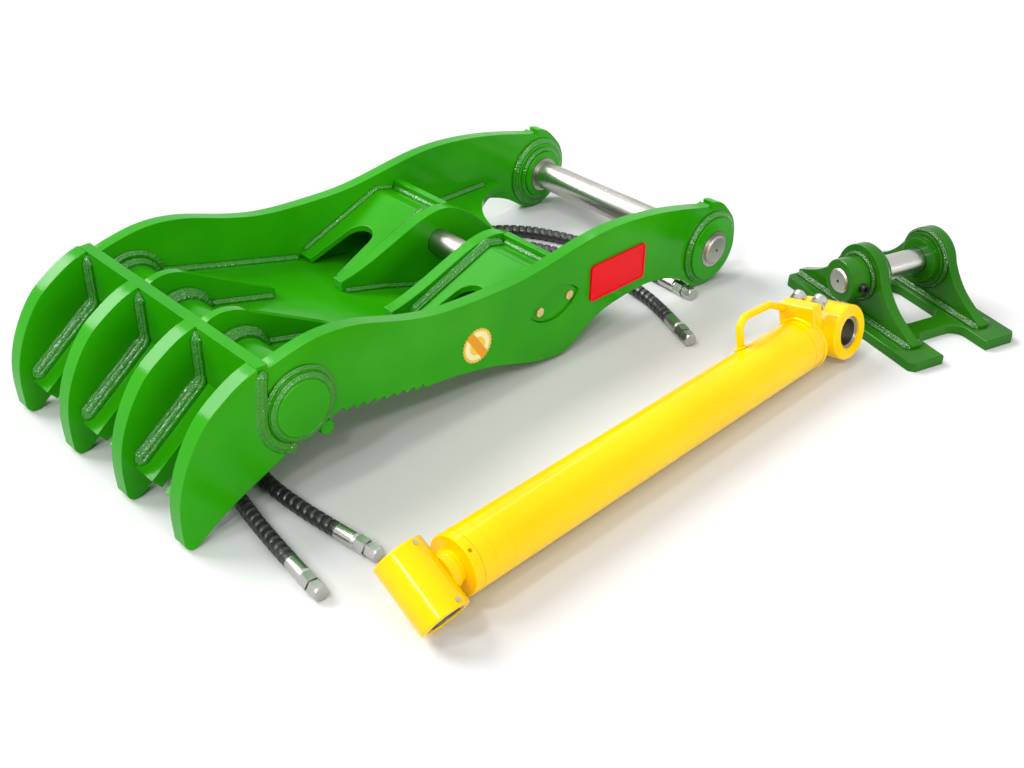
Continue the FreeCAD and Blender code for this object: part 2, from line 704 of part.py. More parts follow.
def clevis_plate(y):
    """Hump-backed lug for the rod pin, from a low toe on the floor plate to a tail on the wing."""
    toe_z = floor_height(CLEVIS_TOE_X) + 20
    outline = Outline(CLEVIS_TOE_X, toe_z - 20 - 30).line(CLEVIS_TOE_X, toe_z)
    outline.curve([(610, 141), (700, 174), (760, 192), (800, 194), (840, 180), (885, 148), (CLEVIS_TAIL_X, 112)])
    outline.line(CLEVIS_TAIL_X, 20)
    shape = outline.solid(y, CLEVIS_THICK).cut(floor_space())
    return shape.cut(rod_y(ROD_PIN_X, ROD_PIN_Z, ROD_PIN_DIA, 0, WIDTH))


def clevis_bosses():
    """A ring on the outer face of each clevis plate."""
    ring = ring_y(ROD_PIN_X, ROD_PIN_Z, CLEVIS_BOSS_DIA, ROD_PIN_DIA, CLEVIS_NEAR_Y - CLEVIS_BOSS_THICK,
                  CLEVIS_BOSS_THICK)
    return Part.makeCompound([ring, mirrored(ring)])


def rod_pin():
    y0 = SIDE_RECESS + KEEPER_DEPTH + KEEPER_THICK
    end = CLEVIS_FAR_Y + CLEVIS_THICK + CLEVIS_BOSS_THICK + 4
    pin = rod_y(ROD_PIN_X, ROD_PIN_Z, ROD_PIN_DIA, y0, end - y0)
    pin = pin.makeChamfer(PIN_CHAMFER, [e for e in pin.Edges if e.Closed and e.CenterOfMass.y > MIDDLE])
    for x, z in keeper_bolt_places():
        pin = pin.cut(rod_y(x, z, KEEPER_BOLT_DIA, 0, y0 + SIDE_THICK))
    return pin


def cover():
    """Sloping cover between the near side plate and clevis, with a round-ended slot open at its toe."""
    front_z = floor_height(COVER_FRONT_X) + 10
    line = [(COVER_FRONT_X, front_z), (RIDGE_X, RIDGE_Z), (RIM_X, RIDGE_Z - 12)]
    y0, y1 = NEAR_INSIDE, CLEVIS_NEAR_Y
    shape = bent_plate(line, COVER_THICK, 6.0, y0, y1 - y0)
    middle = (y0 + y1) / 2
    end = COVER_SLOT_END_X - COVER_SLOT_WIDTH / 2
    half = COVER_SLOT_WIDTH / 2
    left = COVER_FRONT_X - 30
    corners = [Vector(left, middle - half - 12, 0), Vector(end, middle - half, 0),
               Vector(end, middle + half, 0), Vector(left, middle + half + 12, 0)]
    slot = Part.Face(Part.makePolygon(corners + corners[:1])).extrude(Vector(0, 0, 400))
    shape = shape.cut(slot).cut(Part.makeCylinder(half, 400, Vector(end, middle, 0)))
    return shape.cut(floor_space())


def rim():
    """Upright rim that closes the rear of the cover."""
    y0, y1 = NEAR_INSIDE, CLEVIS_NEAR_Y
    shape = Part.makeBox(RIM_THICK, y1 - y0, 200, Vector(RIM_X, y0, RIM_TOP - 200))
    return shape.cut(floor_space())


# Small pieces on the near side plate


def rounded_plate(length, height, corner, x, z, y, thick):
    h, v, c = length / 2, height / 2, corner
    k = c * (1 - math.sqrt(0.5))
    outline = Outline(x - h + c, z - v).line(x + h - c, z - v)
    outline.arc((x + h - k, z - v + k), (x + h, z - v + c)).line(x + h, z + v - c)
    outline.arc((x + h - k, z + v - k), (x + h - c, z + v)).line(x - h + c, z + v)
    outline.arc((x - h + k, z + v - k), (x - h, z + v - c)).line(x - h, z - v + c)
    outline.arc((x - h + k, z - v + k), (x - h + c, z - v))
    return outline.solid(y, thick)


def name_plate():
    """A bare plate with a raised border."""
    y = SIDE_RECESS - PLATE_THICK
    plate = rounded_plate(PLATE_LENGTH, PLATE_HEIGHT, 7.0, PLATE_X, PLATE_Z, y, PLATE_THICK)
    inside = rounded_plate(PLATE_LENGTH - 2 * PLATE_BORDER, PLATE_HEIGHT - 2 * PLATE_BORDER, 4.5,
                           PLATE_X, PLATE_Z, y - 1, PLATE_BORDER_DEPTH + 1)
    return plate.cut(inside)


def round_seal():
    """A thin disc with a scalloped edge."""
    corners = []
    for i in range(2 * SEAL_SCALLOPS):
        radius = SEAL_DIA / 2 - (SEAL_SCALLOP_DEPTH if i % 2 else 0.0)
        corners.append(polar(SEAL_X, SEAL_Z, radius, 180.0 * i / SEAL_SCALLOPS))
    outline = Outline(*corners[0])
    for corner in corners[1:]:
        outline.line(*corner)
    return outline.solid(SIDE_RECESS - SEAL_THICK, SEAL_THICK)


# Hydraulic cylinder, drawn along its own X axis from the rod eye


def turned(points):
    """A solid of revolution about the cylinder's axis, from (along, radius) corners."""
    corners = [Vector(t, 0, r) for t, r in points]
    face = Part.Face(Part.makePolygon(corners + corners[:1]))
    return face.revolve(Vector(0, 0, 0), Vector(1, 0, 0), 360)


def on_cylinder(shape, roll):
    """Lays a piece drawn along X on the floor as the cylinder lies, rolled about its axis."""
    out = shape.copy()
    turn = Rotation(CYLINDER_YAW, CYLINDER_PITCH, roll)
    out.Placement = Placement(Vector(ROD_EYE_X, ROD_EYE_Y, ROD_EYE_Z), turn)
    return out


def cross_bar(at, dia, length):
    """A round bar across the cylinder's axis."""
    return Part.makeCylinder(dia / 2, length, Vector(at, -length / 2, 0), Vector(0, 1, 0))


def barrel():
    start = GLAND_FACE + GLAND_FLANGE
    end = PIN_TO_PIN - CAP_EYE_DIA / 2 - CAP_TAPER - CAP_PLATE
    r, b = BARREL_DIA / 2, BORE_DIA / 2
    return turned([(start, r), (end, r), (end, b), (start, b)])


def gland():
    """Screwed head with a flange, spanner slots and a groove for the rod seals."""
    r, b, rod = BARREL_DIA / 2, BORE_DIA / 2, ROD_DIA / 2 + GLAND_CLEARANCE
    t0, t1, t2 = GLAND_FACE, GLAND_FACE + GLAND_FLANGE, GLAND_FACE + GLAND_LENGTH
    g0 = t1 + 12
    g1 = g0 + ROD_SEAL_WIDTH
    deep = rod + ROD_SEAL_DEPTH
    body = turned([(t0, rod), (t0, r - 2), (t0 + 2, r), (t1, r), (t1, b), (t2, b), (t2, rod),
                   (g1, rod), (g1, deep), (g0, deep), (g0, rod)])
    for i in range(4):
        hole = Part.makeCylinder(3.5, 12, Vector((t0 + t1) / 2, 0, r + 1), Vector(0, 0, -1))
        hole.rotate(Vector(0, 0, 0), Vector(1, 0, 0), 45 + 90 * i)
        body = body.cut(hole)
    return body


def rod_seals():
    rod = ROD_DIA / 2 + GLAND_CLEARANCE
    g0 = GLAND_FACE + GLAND_FLANGE + 12
    g1 = g0 + ROD_SEAL_WIDTH
    tight = ROD_DIA / 2 + SEAL_CLEARANCE / 2
    return turned([(g0, tight), (g0, rod + ROD_SEAL_DEPTH), (g1, rod + ROD_SEAL_DEPTH), (g1, tight)])


def cap_eye():
    """Barrel end cap: a plug, a taper and a cross eye, with a round through bore."""
    eye = PIN_TO_PIN
    t0 = eye - CAP_EYE_DIA / 2 - CAP_TAPER - CAP_PLATE
    t1 = eye - CAP_EYE_DIA / 2 - CAP_TAPER
    r, n = BARREL_DIA / 2, CAP_NECK_DIA / 2
    body = turned([(t0, 0), (t0, r), (t1, r), (eye - CAP_EYE_DIA / 2, n), (eye, n), (eye, 0)])
    outer = cross_bar(eye, CAP_EYE_DIA, CAP_EYE_WIDTH)
    outer = outer.makeChamfer(CAP_EYE_CHAMFER, [e for e in outer.Edges if e.Closed])
    body = body.fuse(outer).cut(cross_bar(eye, eye_bore(), CAP_EYE_WIDTH + 10))
    groove = cross_bar(eye, eye_bore() + 2 * SNAP_RING_DEPTH, CAP_EYE_WIDTH - 8)
    groove = groove.cut(cross_bar(eye, CAP_EYE_DIA, CAP_EYE_WIDTH - 8 - 2 * SNAP_RING_WIDTH))
    return body.cut(groove).removeSplitter()


def eye_bore():
    return EYE_PIN_DIA + 2 * RUNNING_CLEARANCE + 2 * EYE_BUSH_WALL


def eye_bush(at, width):
    """Plain steel bush, held between the snap rings."""
    outer = cross_bar(at, eye_bore(), width)
    return outer.cut(cross_bar(at, EYE_PIN_DIA + 2 * RUNNING_CLEARANCE, width + 2))


def snap_rings():
    rings = []
    inner = cross_bar(PIN_TO_PIN, eye_bore() - 3, CAP_EYE_WIDTH + 4)
    for side in (-1, 1):
        y = side * ((CAP_EYE_WIDTH - 8 - SNAP_RING_WIDTH) / 2)
        ring = Part.makeCylinder(eye_bore() / 2 + SNAP_RING_DEPTH, SNAP_RING_WIDTH,
                                 Vector(PIN_TO_PIN, y - SNAP_RING_WIDTH / 2, 0), Vector(0, 1, 0))
        rings.append(ring.cut(inner))
    return Part.makeCompound(rings)


def cap_bush():
    return eye_bush(PIN_TO_PIN, CAP_EYE_WIDTH - 8 - 2 * SNAP_RING_WIDTH)


def barrel_space():
    end = PIN_TO_PIN - CAP_EYE_DIA / 2 - CAP_TAPER
    solid = turned([(0, 0), (0, BARREL_DIA / 2), (end, BARREL_DIA / 2), (end, 0)])
    return solid.fuse(cap_eye())


def block_start():
    return PIN_TO_PIN - BLOCK_FROM_EYE - BLOCK_LENGTH


def port_block():
    block = Part.makeBox(BLOCK_LENGTH, BLOCK_WIDTH, BLOCK_TOP - BLOCK_SEAT,
                         Vector(block_start(), BLOCK_SIDE - BLOCK_WIDTH / 2, BLOCK_SEAT - 12))
    lift = Part.makeBox(BLOCK_LENGTH, BLOCK_WIDTH, 12, Vector(block_start(), BLOCK_SIDE - BLOCK_WIDTH / 2,
                                                             BLOCK_TOP - 12))
    block = block.fuse(lift).removeSplitter()
    upright = [e for e in block.Edges if e.BoundBox.ZMin > BLOCK_TOP - 0.1]
    block = block.makeChamfer(3.0, upright)
    return block.cut(barrel_space())


def adapter_axis():
    rise = math.radians(ADAPTER_RISE)
    return Vector(math.cos(rise), 0, math.sin(rise))


def adapter_places():
    x = block_start() + BLOCK_LENGTH
    return [Vector(x, BLOCK_SIDE + s * ADAPTER_SPAN / 2, ADAPTER_UP) for s in (-1, 1)]


def port_adapters():
    pieces = []
    block = port_block()
    for at in adapter_places():
        axis = adapter_axis()
        body = Part.makeCylinder(9, ADAPTER_LENGTH + 12, at - axis * 12, axis)
        body = body.fuse(hexagon(ADAPTER_HEX, ADAPTER_LENGTH - 6, at + axis * 6, axis)).removeSplitter()
        pieces.append(body.cut(block))
    return Part.makeCompound([max(p.Solids, key=lambda s: s.Volume) for p in pieces])


def port_plugs():
    """Round caps that close the two ports."""
    caps = []
    for at in adapter_places():
        base = at + adapter_axis() * ADAPTER_LENGTH
        cap = Part.makeCylinder(PLUG_DIA / 2, PLUG_LENGTH, base, adapter_axis())
        far = base + adapter_axis() * PLUG_LENGTH
        caps.append(cap.makeChamfer(3.0, [e for e in cap.Edges if e.Closed
                                          and e.CenterOfMass.distanceToPoint(far) < 1]))
    return Part.makeCompound(caps)


def lifting_handle():
    """A bent round bar from the port block forward and down on to the barrel."""
    x1 = block_start()
    x0 = x1 - HANDLE_LENGTH
    side = HANDLE_SIDE
    corners = [Vector(x1, side + 8, HANDLE_START_UP), Vector(x1 - 45, side + 5, HANDLE_TOP - 9),
               Vector(x0, side, HANDLE_TOP), Vector(x0 - 3, side, 30)]
    path = rounded_path(corners, [34.0, HANDLE_BEND])
    bar = tube_along(path, HANDLE_DIA)
    return bar.cut(barrel_space()).cut(port_block())


def rounded_path(corners, radii):
    """Straight runs joined by tangent arcs, as one wire."""
    edges = []
    here = corners[0]
    for i, radius in enumerate(radii):
        a, v, b = corners[i], corners[i + 1], corners[i + 2]
        u = (a - v).normalize()
        w = (b - v).normalize()
        turn = math.pi - u.getAngle(w)
        back = radius * math.tan(turn / 2)
        middle = (u + w).normalize()
        centre = v + middle * (radius / math.cos(turn / 2))
        start, end = v + u * back, v + w * back
        edges.append(Part.makeLine(here, start))
        edges.append(Part.Arc(start, centre - middle * radius, end).toShape())
        here = end
    edges.append(Part.makeLine(here, corners[-1]))
    return Part.Wire(edges)


def tube_along(path, dia):
    first = path.Edges[0]
    start = first.valueAt(first.FirstParameter)
    along = first.tangentAt(first.FirstParameter)
    ring = Part.Wire(Part.makeCircle(dia / 2, start, along))
    return path.makePipeShell([ring], True, False)


def rod():
    """Chromed rod from its welded neck to the piston seat and nut thread."""
    r, n = ROD_DIA / 2, NECK_DIA / 2
    seat = PISTON_END - PISTON_NUT_LENGTH - PISTON_LENGTH
    thread = r - 8
    start = ROD_EYE_DIA / 2 - 8
    body = turned([(start, 0), (start, n), (NECK_END - 2, n), (NECK_END, n - 2), (NECK_END, r), (seat, r),
                   (seat, thread), (PISTON_END, thread), (PISTON_END, 0)])
    return body.cut(cross_bar(0, ROD_EYE_DIA, ROD_EYE_LENGTH + 20))


def rod_eye():
    body = cross_bar(0, ROD_EYE_DIA, ROD_EYE_LENGTH)
    body = body.makeChamfer(ROD_EYE_CHAMFER, [e for e in body.Edges if e.Closed])
    return body.cut(cross_bar(0, eye_bore(), ROD_EYE_LENGTH + 10))


def grease_nipples():
    """One nipple near each end of the rod eye, on the side that faces up."""
    pieces = []
    for y in (-1, 1):
        at = Vector(0, y * (ROD_EYE_LENGTH / 2 - 9), 0)
        axis = Vector(math.sin(math.radians(12)), 0, math.cos(math.radians(12)))
        body = Part.makeCylinder(NIPPLE_DIA / 2, NIPPLE_HEIGHT + 3, at + axis * (ROD_EYE_DIA / 2 - 3), axis)
        pieces.append(body.cut(cross_bar(0, ROD_EYE_DIA, ROD_EYE_LENGTH)))
    return Part.makeCompound(pieces)


def piston():
    """Piston with two grooves for its seals."""
    r = BORE_DIA / 2 - PISTON_CLEARANCE
    t1 = PISTON_END - PISTON_NUT_LENGTH
    t0 = t1 - PISTON_LENGTH
    deep = r - PISTON_SEAL_DEPTH
    hole = ROD_DIA / 2 - 8
    points = [(t0, hole), (t0, r)]
    for g0, g1 in piston_grooves():
        points += [(g0, r), (g0, deep), (g1, deep), (g1, r)]
    points += [(t1, r), (t1, hole)]
    return turned(points)


def piston_grooves():
    t0 = PISTON_END - PISTON_NUT_LENGTH - PISTON_LENGTH
    space = (PISTON_LENGTH - 2 * PISTON_SEAL_WIDTH) / 3
    first = t0 + space
    second = first + PISTON_SEAL_WIDTH + space
    return [(g, g + PISTON_SEAL_WIDTH) for g in (first, second)]


def piston_seals():
    """Two rings that stay still in the bore while the rod turns in them."""
    c = SEAL_CLEARANCE
    inner = BORE_DIA / 2 - PISTON_CLEARANCE - PISTON_SEAL_DEPTH + c
    outer = BORE_DIA / 2 - c / 2
    rings = [turned([(g0 + c, inner), (g0 + c, outer), (g1 - c, outer), (g1 - c, inner)])
             for g0, g1 in piston_grooves()]
    return Part.makeCompound(rings)


def piston_nut():
    t0 = PISTON_END - PISTON_NUT_LENGTH
    bar = hexagon(PISTON_NUT_DIA * 0.86, PISTON_NUT_LENGTH, Vector(t0, 0, 0), Vector(1, 0, 0))
    thread = turned([(t0 - 1, 0), (t0 - 1, ROD_DIA / 2 - 8), (PISTON_END + 1, ROD_DIA / 2 - 8),
                     (PISTON_END + 1, 0)])
    return bar.cut(thread)


# Weld-on bracket, drawn with X across its ears and Y along its base


def on_bracket(shape):
    out = shape.copy()
    turn = Rotation(BRACKET_YAW, 0, 0)
    out.Placement = Placement(Vector(BRACKET_X, BRACKET_Y, 0), turn).multiply(out.Placement)
    return out


def pin_x(dia, x, length):
    return Part.makeCylinder(dia / 2, length, Vector(x, BRACKET_PIN_FROM_END, BRACKET_PIN_Z), Vector(1, 0, 0))


def bracket_base():
    """H-shaped base: a notch open at each end and a window in the middle."""
    base = Part.makeBox(BASE_WIDTH, BASE_LENGTH, BASE_THICK)
    base = base.makeChamfer(BASE_CORNER, [e for e in base.Edges if abs(e.BoundBox.ZLength - BASE_THICK) < 0.1])
    x0 = (BASE_WIDTH - BASE_NOTCH_WIDTH) / 2
    r = BASE_WINDOW_RADIUS
    cuts = []
    spans = [(-60, BASE_NOTCH_DEPTH), (BASE_LENGTH - BASE_NOTCH_DEPTH, BASE_LENGTH + 60),
             ((BASE_LENGTH - BASE_WINDOW_LENGTH) / 2, (BASE_LENGTH + BASE_WINDOW_LENGTH) / 2)]
    for y0, y1 in spans:
        cut = Part.makeBox(BASE_NOTCH_WIDTH, y1 - y0, BASE_THICK, Vector(x0, y0, 0))
        cuts.append(cut.makeFillet(r, [e for e in cut.Edges if abs(e.BoundBox.ZLength - BASE_THICK) < 0.1]))
    base = base.cut(cuts)
    rims = [e for e in base.Edges if e.BoundBox.ZMin > BASE_THICK - 0.1]
    return base.makeChamfer(2.0, rims)


def bracket_ear(x):
    """Bell-shaped ear that flares into its foot along the base."""
    y, z = BRACKET_PIN_FROM_END, BRACKET_PIN_Z
    half, r = BRACKET_FOOT / 2, BRACKET_EAR_RADIUS
    waist = (r * math.cos(math.radians(15)), r * math.sin(math.radians(15)))
    flare = [(half, BASE_THICK + 6), (135, 42), (100, 63), (75, 88), (waist[0], z + waist[1])]
    outline = Outline(-half, BASE_THICK).line(-half, BASE_THICK + 6)
    outline.curve([(-a, b) for a, b in flare[1:]])
    outline.arc((0, z + r), (waist[0], z + waist[1]))
    outline.curve([(a, b) for a, b in reversed(flare[:-1])])
    outline.line(half, BASE_THICK)
    shape = outline.solid(0, BRACKET_EAR_THICK)
    shape.rotate(Vector(0, 0, 0), Vector(0, 0, 1), 90)
    shape.translate(Vector(x + BRACKET_EAR_THICK, y, 0))
    return shape.cut(pin_x(ROD_PIN_DIA, x - 10, BRACKET_EAR_THICK + 20))


def near_ear_x():
    return BRACKET_EAR_EDGE


def far_ear_x():
    return BASE_WIDTH - BRACKET_EAR_EDGE - BRACKET_EAR_THICK


def bracket_bosses():
    """A stepped ring inside each ear, which leaves the cylinder's cap eye a close fit."""
    each = BRACKET_BOSS_LENGTH
    wide = each * 0.45
    rings = []
    for x, step in ((near_ear_x() + BRACKET_EAR_THICK, 1), (far_ear_x(), -1)):
        big = pin_x(BRACKET_BOSS_DIA, min(x, x + step * wide), wide)
        small = pin_x(BRACKET_BOSS_STEP_DIA, min(x, x + step * each), each)
        rings.append(big.fuse(small).removeSplitter().cut(pin_x(ROD_PIN_DIA, x - 60, 120)))
    return Part.makeCompound(rings)


def lock_bolt_x():
    return near_ear_x() - COLLAR_OUT_LENGTH * 0.55


def lock_bore(dia, y, length):
    return Part.makeCylinder(dia / 2, length, Vector(lock_bolt_x(), y, BRACKET_PIN_Z), Vector(0, 1, 0))


def bracket_collar():
    """Collar on the near ear, cross-drilled for the bolt that locks the pin."""
    x = near_ear_x() - COLLAR_OUT_LENGTH
    collar = pin_x(COLLAR_OUT_DIA, x, COLLAR_OUT_LENGTH)
    collar = collar.makeChamfer(2.0, [e for e in collar.Edges if e.Closed])
    collar = collar.cut(pin_x(ROD_PIN_DIA, x - 5, COLLAR_OUT_LENGTH + 10))
    return collar.cut(lock_bore(LOCK_BOLT_DIA, BRACKET_PIN_FROM_END - 80, 160))


def bracket_pin():
    x = near_ear_x() - COLLAR_OUT_LENGTH - BRACKET_PIN_PROUD
    length = far_ear_x() + BRACKET_EAR_THICK + BRACKET_PIN_PROUD - x
    pin = pin_x(ROD_PIN_DIA, x, length)
    pin = pin.makeChamfer(PIN_CHAMFER, [e for e in pin.Edges if e.Closed])
    pin = pin.cut(pin_x(CENTRE_HOLE_DIA, x, CENTRE_HOLE_DEPTH))
    return pin.cut(lock_bore(LOCK_BOLT_DIA, BRACKET_PIN_FROM_END - 80, 160))


def lock_bolt():
    half = COLLAR_OUT_DIA / 2
    y = BRACKET_PIN_FROM_END
    head = lock_bore(LOCK_HEAD_DIA, y - half - LOCK_HEAD_THICK, LOCK_HEAD_THICK + 3)
    shank = lock_bore(LOCK_BOLT_DIA, y - half - 1, 2 * half + LOCK_NUT_THICK + 5)
    bolt = head.cut(pin_x(COLLAR_OUT_DIA, -60, 160)).fuse(shank)
    socket = hexagon(LOCK_HEAD_DIA * 0.5, 6, Vector(lock_bolt_x(), y - half - LOCK_HEAD_THICK, BRACKET_PIN_Z),
                     Vector(0, 1, 0))
    return bolt.cut(socket)


def lock_nut():
    half = COLLAR_OUT_DIA / 2
    at = Vector(lock_bolt_x(), BRACKET_PIN_FROM_END + half - 2, BRACKET_PIN_Z)
    nut = hexagon(LOCK_NUT_FLATS, LOCK_NUT_THICK + 2, at, Vector(0, 1, 0), 30)
    return nut.cut(pin_x(COLLAR_OUT_DIA, -60, 160)).cut(lock_bore(LOCK_BOLT_DIA, at.y - 20, 60))


# Hoses and their end fittings


def hose_radii(route):
    radii = []
    points = [Vector(x, y, 0) for x, y in route]
    for a, v, b in zip(points, points[1:], points[2:]):
        turn = (v - a).getAngle(b - v)
        radii.append(BEND_SHARE * min((v - a).Length, (b - v).Length) / math.tan(turn / 2))
    return radii


def hose(name):
    route = HOSE_ROUTES[name]
    radii = hose_radii(route)
    corners = [Vector(x, y, HOSE_DIA / 2) for x, y in route]
    path = rounded_path(corners, radii)
    tube = tube_along(path, HOSE_DIA)
    share = tube.Volume / (math.pi * HOSE_DIA ** 2 / 4 * path.Length)
    print(name, "length", round(path.Length), "least radius", round(min(radii)), "volume share", round(share, 5))
    return tube


def hose_ends():
    """Each hose end with the direction that points out of it."""
    ends = []
    for route in HOSE_ROUTES.values():
        for last, before in ((route[0], route[1]), (route[-1], route[-2])):
            at = Vector(last[0], last[1], HOSE_DIA / 2)
            ends.append((at, (at - Vector(before[0], before[1], HOSE_DIA / 2)).normalize()))
    return ends


def turned_along(points, at, axis):
    """A solid of revolution from (along, radius) corners, set at a point along a direction."""
    corners = [Vector(r, 0, t) for t, r in points]
    face = Part.Face(Part.makePolygon(corners + corners[:1]))
    solid = face.revolve(Vector(0, 0, 0), Vector(0, 0, 1), 360)
    solid.Placement = Placement(at, Rotation(Vector(0, 0, 1), axis))
    return solid


def ferrules():
    """Crimped sleeve with a nose that the swivel nut turns on."""
    r, w = HOSE_DIA / 2, FERRULE_WAIST
    total = FERRULE_LENGTH + FITTING_GAP
    profile = [(0, 0), (0, r), (FERRULE_LENGTH - 4, r), (FERRULE_LENGTH, w), (total, w), (total, 0)]
    return Part.makeCompound([turned_along(profile, at, axis) for at, axis in hose_ends()])


def swivel_nuts():
    start = FERRULE_LENGTH + FITTING_GAP
    pieces = []
    for at, axis in hose_ends():
        pieces.append(level_hexagon(SWIVEL_FLATS, SWIVEL_LENGTH, at + axis * start, axis))
    return Part.makeCompound(pieces)


def level_hexagon(flats, length, at, axis):
    """A hexagon bar along a level direction that lies on one of its flats."""
    r = flats / math.sqrt(3)
    across = axis.cross(Vector(0, 0, 1))
    corners = [at + across * (r * math.cos(math.radians(60 * i)))
               + Vector(0, 0, r * math.sin(math.radians(60 * i))) for i in range(6)]
    return Part.Face(Part.makePolygon(corners + corners[:1])).extrude(axis * length)


def hose_plugs():
    start = FERRULE_LENGTH + FITTING_GAP + SWIVEL_LENGTH
    pieces = []
    neck = 9.0
    for at, axis in hose_ends():
        stem = Part.makeCylinder(neck, FITTING_GAP, at + axis * start, axis)
        head = level_hexagon(HOSE_PLUG_FLATS, HOSE_PLUG_LENGTH, at + axis * (start + FITTING_GAP), axis)
        cone = turned_along([(0, 0), (0, 20), (HOSE_PLUG_LENGTH - 5, 14.2), (HOSE_PLUG_LENGTH, 11.5),
                             (HOSE_PLUG_LENGTH, 0)], at + axis * (start + FITTING_GAP), axis)
        pieces.append(stem.fuse(head.common(cone)).removeSplitter())
    return Part.makeCompound(pieces)


def build_thumb():
    outer = tine(0, True)
    inner = [tine(y, False) for y in INNER_TINE_PLACES]
    bar = rod_y(LOWER_BAR_X, LOWER_BAR_Z, LOWER_BAR_DIA, -50, WIDTH + 100)
    outer = outer.cut(bar)
    inner = [t.cut(bar) for t in inner]
    tines = {"tine_outer_near": outer, "tine_outer_far": mirrored(outer),
             "tine_inner_near": inner[0], "tine_inner_far": inner[-1]}
    for name, shape in tines.items():
        save(name, shape)
    save("comb_plate", comb_plate(tines.values()))
    save("cross_tube", cross_tube())
    save("tube_collars", tube_collars())
    offset = (TINE_THICK - GUSSET_THICK) / 2
    save("fin_near", fin(INNER_TINE_PLACES[0] + offset))
    save("fin_far", fin(INNER_TINE_PLACES[-1] + offset))
    save("lower_bar", lower_bar())
    save("side_plate_near", near_side_plate())
    save("side_plate_far", mirrored(side_plate()))
    save("pin_keeper", pin_keeper())
    save("keeper_bolts", keeper_bolts())
    boss = pivot_boss()
    save("pivot_boss_near", boss)
    save("pivot_boss_far", mirrored(boss))
    save("pivot_bushes", pivot_bushes())
    save("main_pin", main_pin())
    save("floor_plate", floor_plate())
    save("wing_plate", wing_plate())
    save("clevis_near", clevis_plate(CLEVIS_NEAR_Y))
    save("clevis_far", clevis_plate(CLEVIS_FAR_Y))
    save("clevis_bosses", clevis_bosses())
    save("rod_pin", rod_pin())
    ring = rod_y(ROD_PIN_X, ROD_PIN_Z, CLEVIS_BOSS_DIA, 0, WIDTH)
    cover_near, rim_near = cover().cut(ring), rim().cut(ring)
    save("cover_near", cover_near)
    save("cover_far", mirrored(cover_near))
    save("rim_near", rim_near)
    save("rim_far", mirrored(rim_near))
    save("name_plate", name_plate())
    save("round_seal", round_seal())


def build_cylinder():
    for make in (barrel, gland, rod_seals, cap_eye, cap_bush, snap_rings, port_block, port_adapters,
                 port_plugs, lifting_handle, piston_seals):
        save(make.__name__, on_cylinder(make(), BARREL_ROLL))
    for make in (rod, rod_eye, grease_nipples, piston, piston_nut):
        save(make.__name__, on_cylinder(make(), ROD_ROLL))
    save("rod_bush", on_cylinder(eye_bush(0, ROD_EYE_LENGTH - 4), ROD_ROLL))


def build_bracket():
    save("bracket_base", on_bracket(bracket_base()))
    save("bracket_ear_near", on_bracket(bracket_ear(near_ear_x())))
    save("bracket_ear_far", on_bracket(bracket_ear(far_ear_x())))
    for make in (bracket_bosses, bracket_collar, bracket_pin, lock_bolt, lock_nut):
        save(make.__name__, on_bracket(make()))


def build_hoses():
    for name in HOSE_ROUTES:
        save(name, hose(name))
    save("hose_ferrules", ferrules())
    save("hose_nuts", swivel_nuts())
    save("hose_plugs", hose_plugs())


print("rod travel", STROKE, "gland length", GLAND_LENGTH)
build_thumb()
build_cylinder()
build_bracket()
build_hoses()
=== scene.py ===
import bmesh
import bpy
import json
import math
import numpy as np
from mathutils import Matrix, Vector


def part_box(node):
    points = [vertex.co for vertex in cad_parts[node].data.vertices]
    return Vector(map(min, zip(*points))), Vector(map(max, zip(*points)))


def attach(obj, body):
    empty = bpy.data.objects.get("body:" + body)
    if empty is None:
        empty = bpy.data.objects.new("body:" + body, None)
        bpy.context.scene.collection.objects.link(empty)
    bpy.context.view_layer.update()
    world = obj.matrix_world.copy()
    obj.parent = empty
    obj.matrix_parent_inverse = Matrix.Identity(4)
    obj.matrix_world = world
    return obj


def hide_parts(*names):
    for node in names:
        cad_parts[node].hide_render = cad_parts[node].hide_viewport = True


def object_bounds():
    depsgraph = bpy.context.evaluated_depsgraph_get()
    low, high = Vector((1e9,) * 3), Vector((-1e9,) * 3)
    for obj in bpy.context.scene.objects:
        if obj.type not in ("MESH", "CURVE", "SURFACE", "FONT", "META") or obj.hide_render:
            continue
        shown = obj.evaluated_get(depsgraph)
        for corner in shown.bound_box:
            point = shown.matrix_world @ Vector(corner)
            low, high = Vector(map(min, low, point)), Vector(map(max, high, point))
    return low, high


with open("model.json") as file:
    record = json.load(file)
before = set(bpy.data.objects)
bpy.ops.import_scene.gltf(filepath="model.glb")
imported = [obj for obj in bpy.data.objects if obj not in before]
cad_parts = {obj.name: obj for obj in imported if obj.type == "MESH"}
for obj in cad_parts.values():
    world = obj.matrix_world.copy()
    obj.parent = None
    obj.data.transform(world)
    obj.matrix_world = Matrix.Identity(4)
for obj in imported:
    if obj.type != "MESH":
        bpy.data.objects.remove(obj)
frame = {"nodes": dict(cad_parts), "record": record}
cad_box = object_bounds()


def area_light(name, place, target, width, depth, power):
    """A rectangular soft light at a place, aimed at a target."""
    light = bpy.data.lights.new(name, "AREA")
    light.shape = "RECTANGLE"
    light.size = width
    light.size_y = depth
    light.energy = power
    lamp = bpy.data.objects.new(name, light)
    bpy.context.scene.collection.objects.link(lamp)
    lamp.location = place
    lamp.rotation_euler = (Vector(target) - Vector(place)).to_track_quat("-Z", "Y").to_euler()


def sun_light(name, coming_from, strength, spread):
    """A far soft light from a direction, with an even strength over the whole floor."""
    light = bpy.data.lights.new(name, "SUN")
    light.energy = strength
    light.angle = spread
    lamp = bpy.data.objects.new(name, light)
    bpy.context.scene.collection.objects.link(lamp)
    lamp.rotation_euler = Vector(coming_from).to_track_quat("Z", "Y").to_euler()


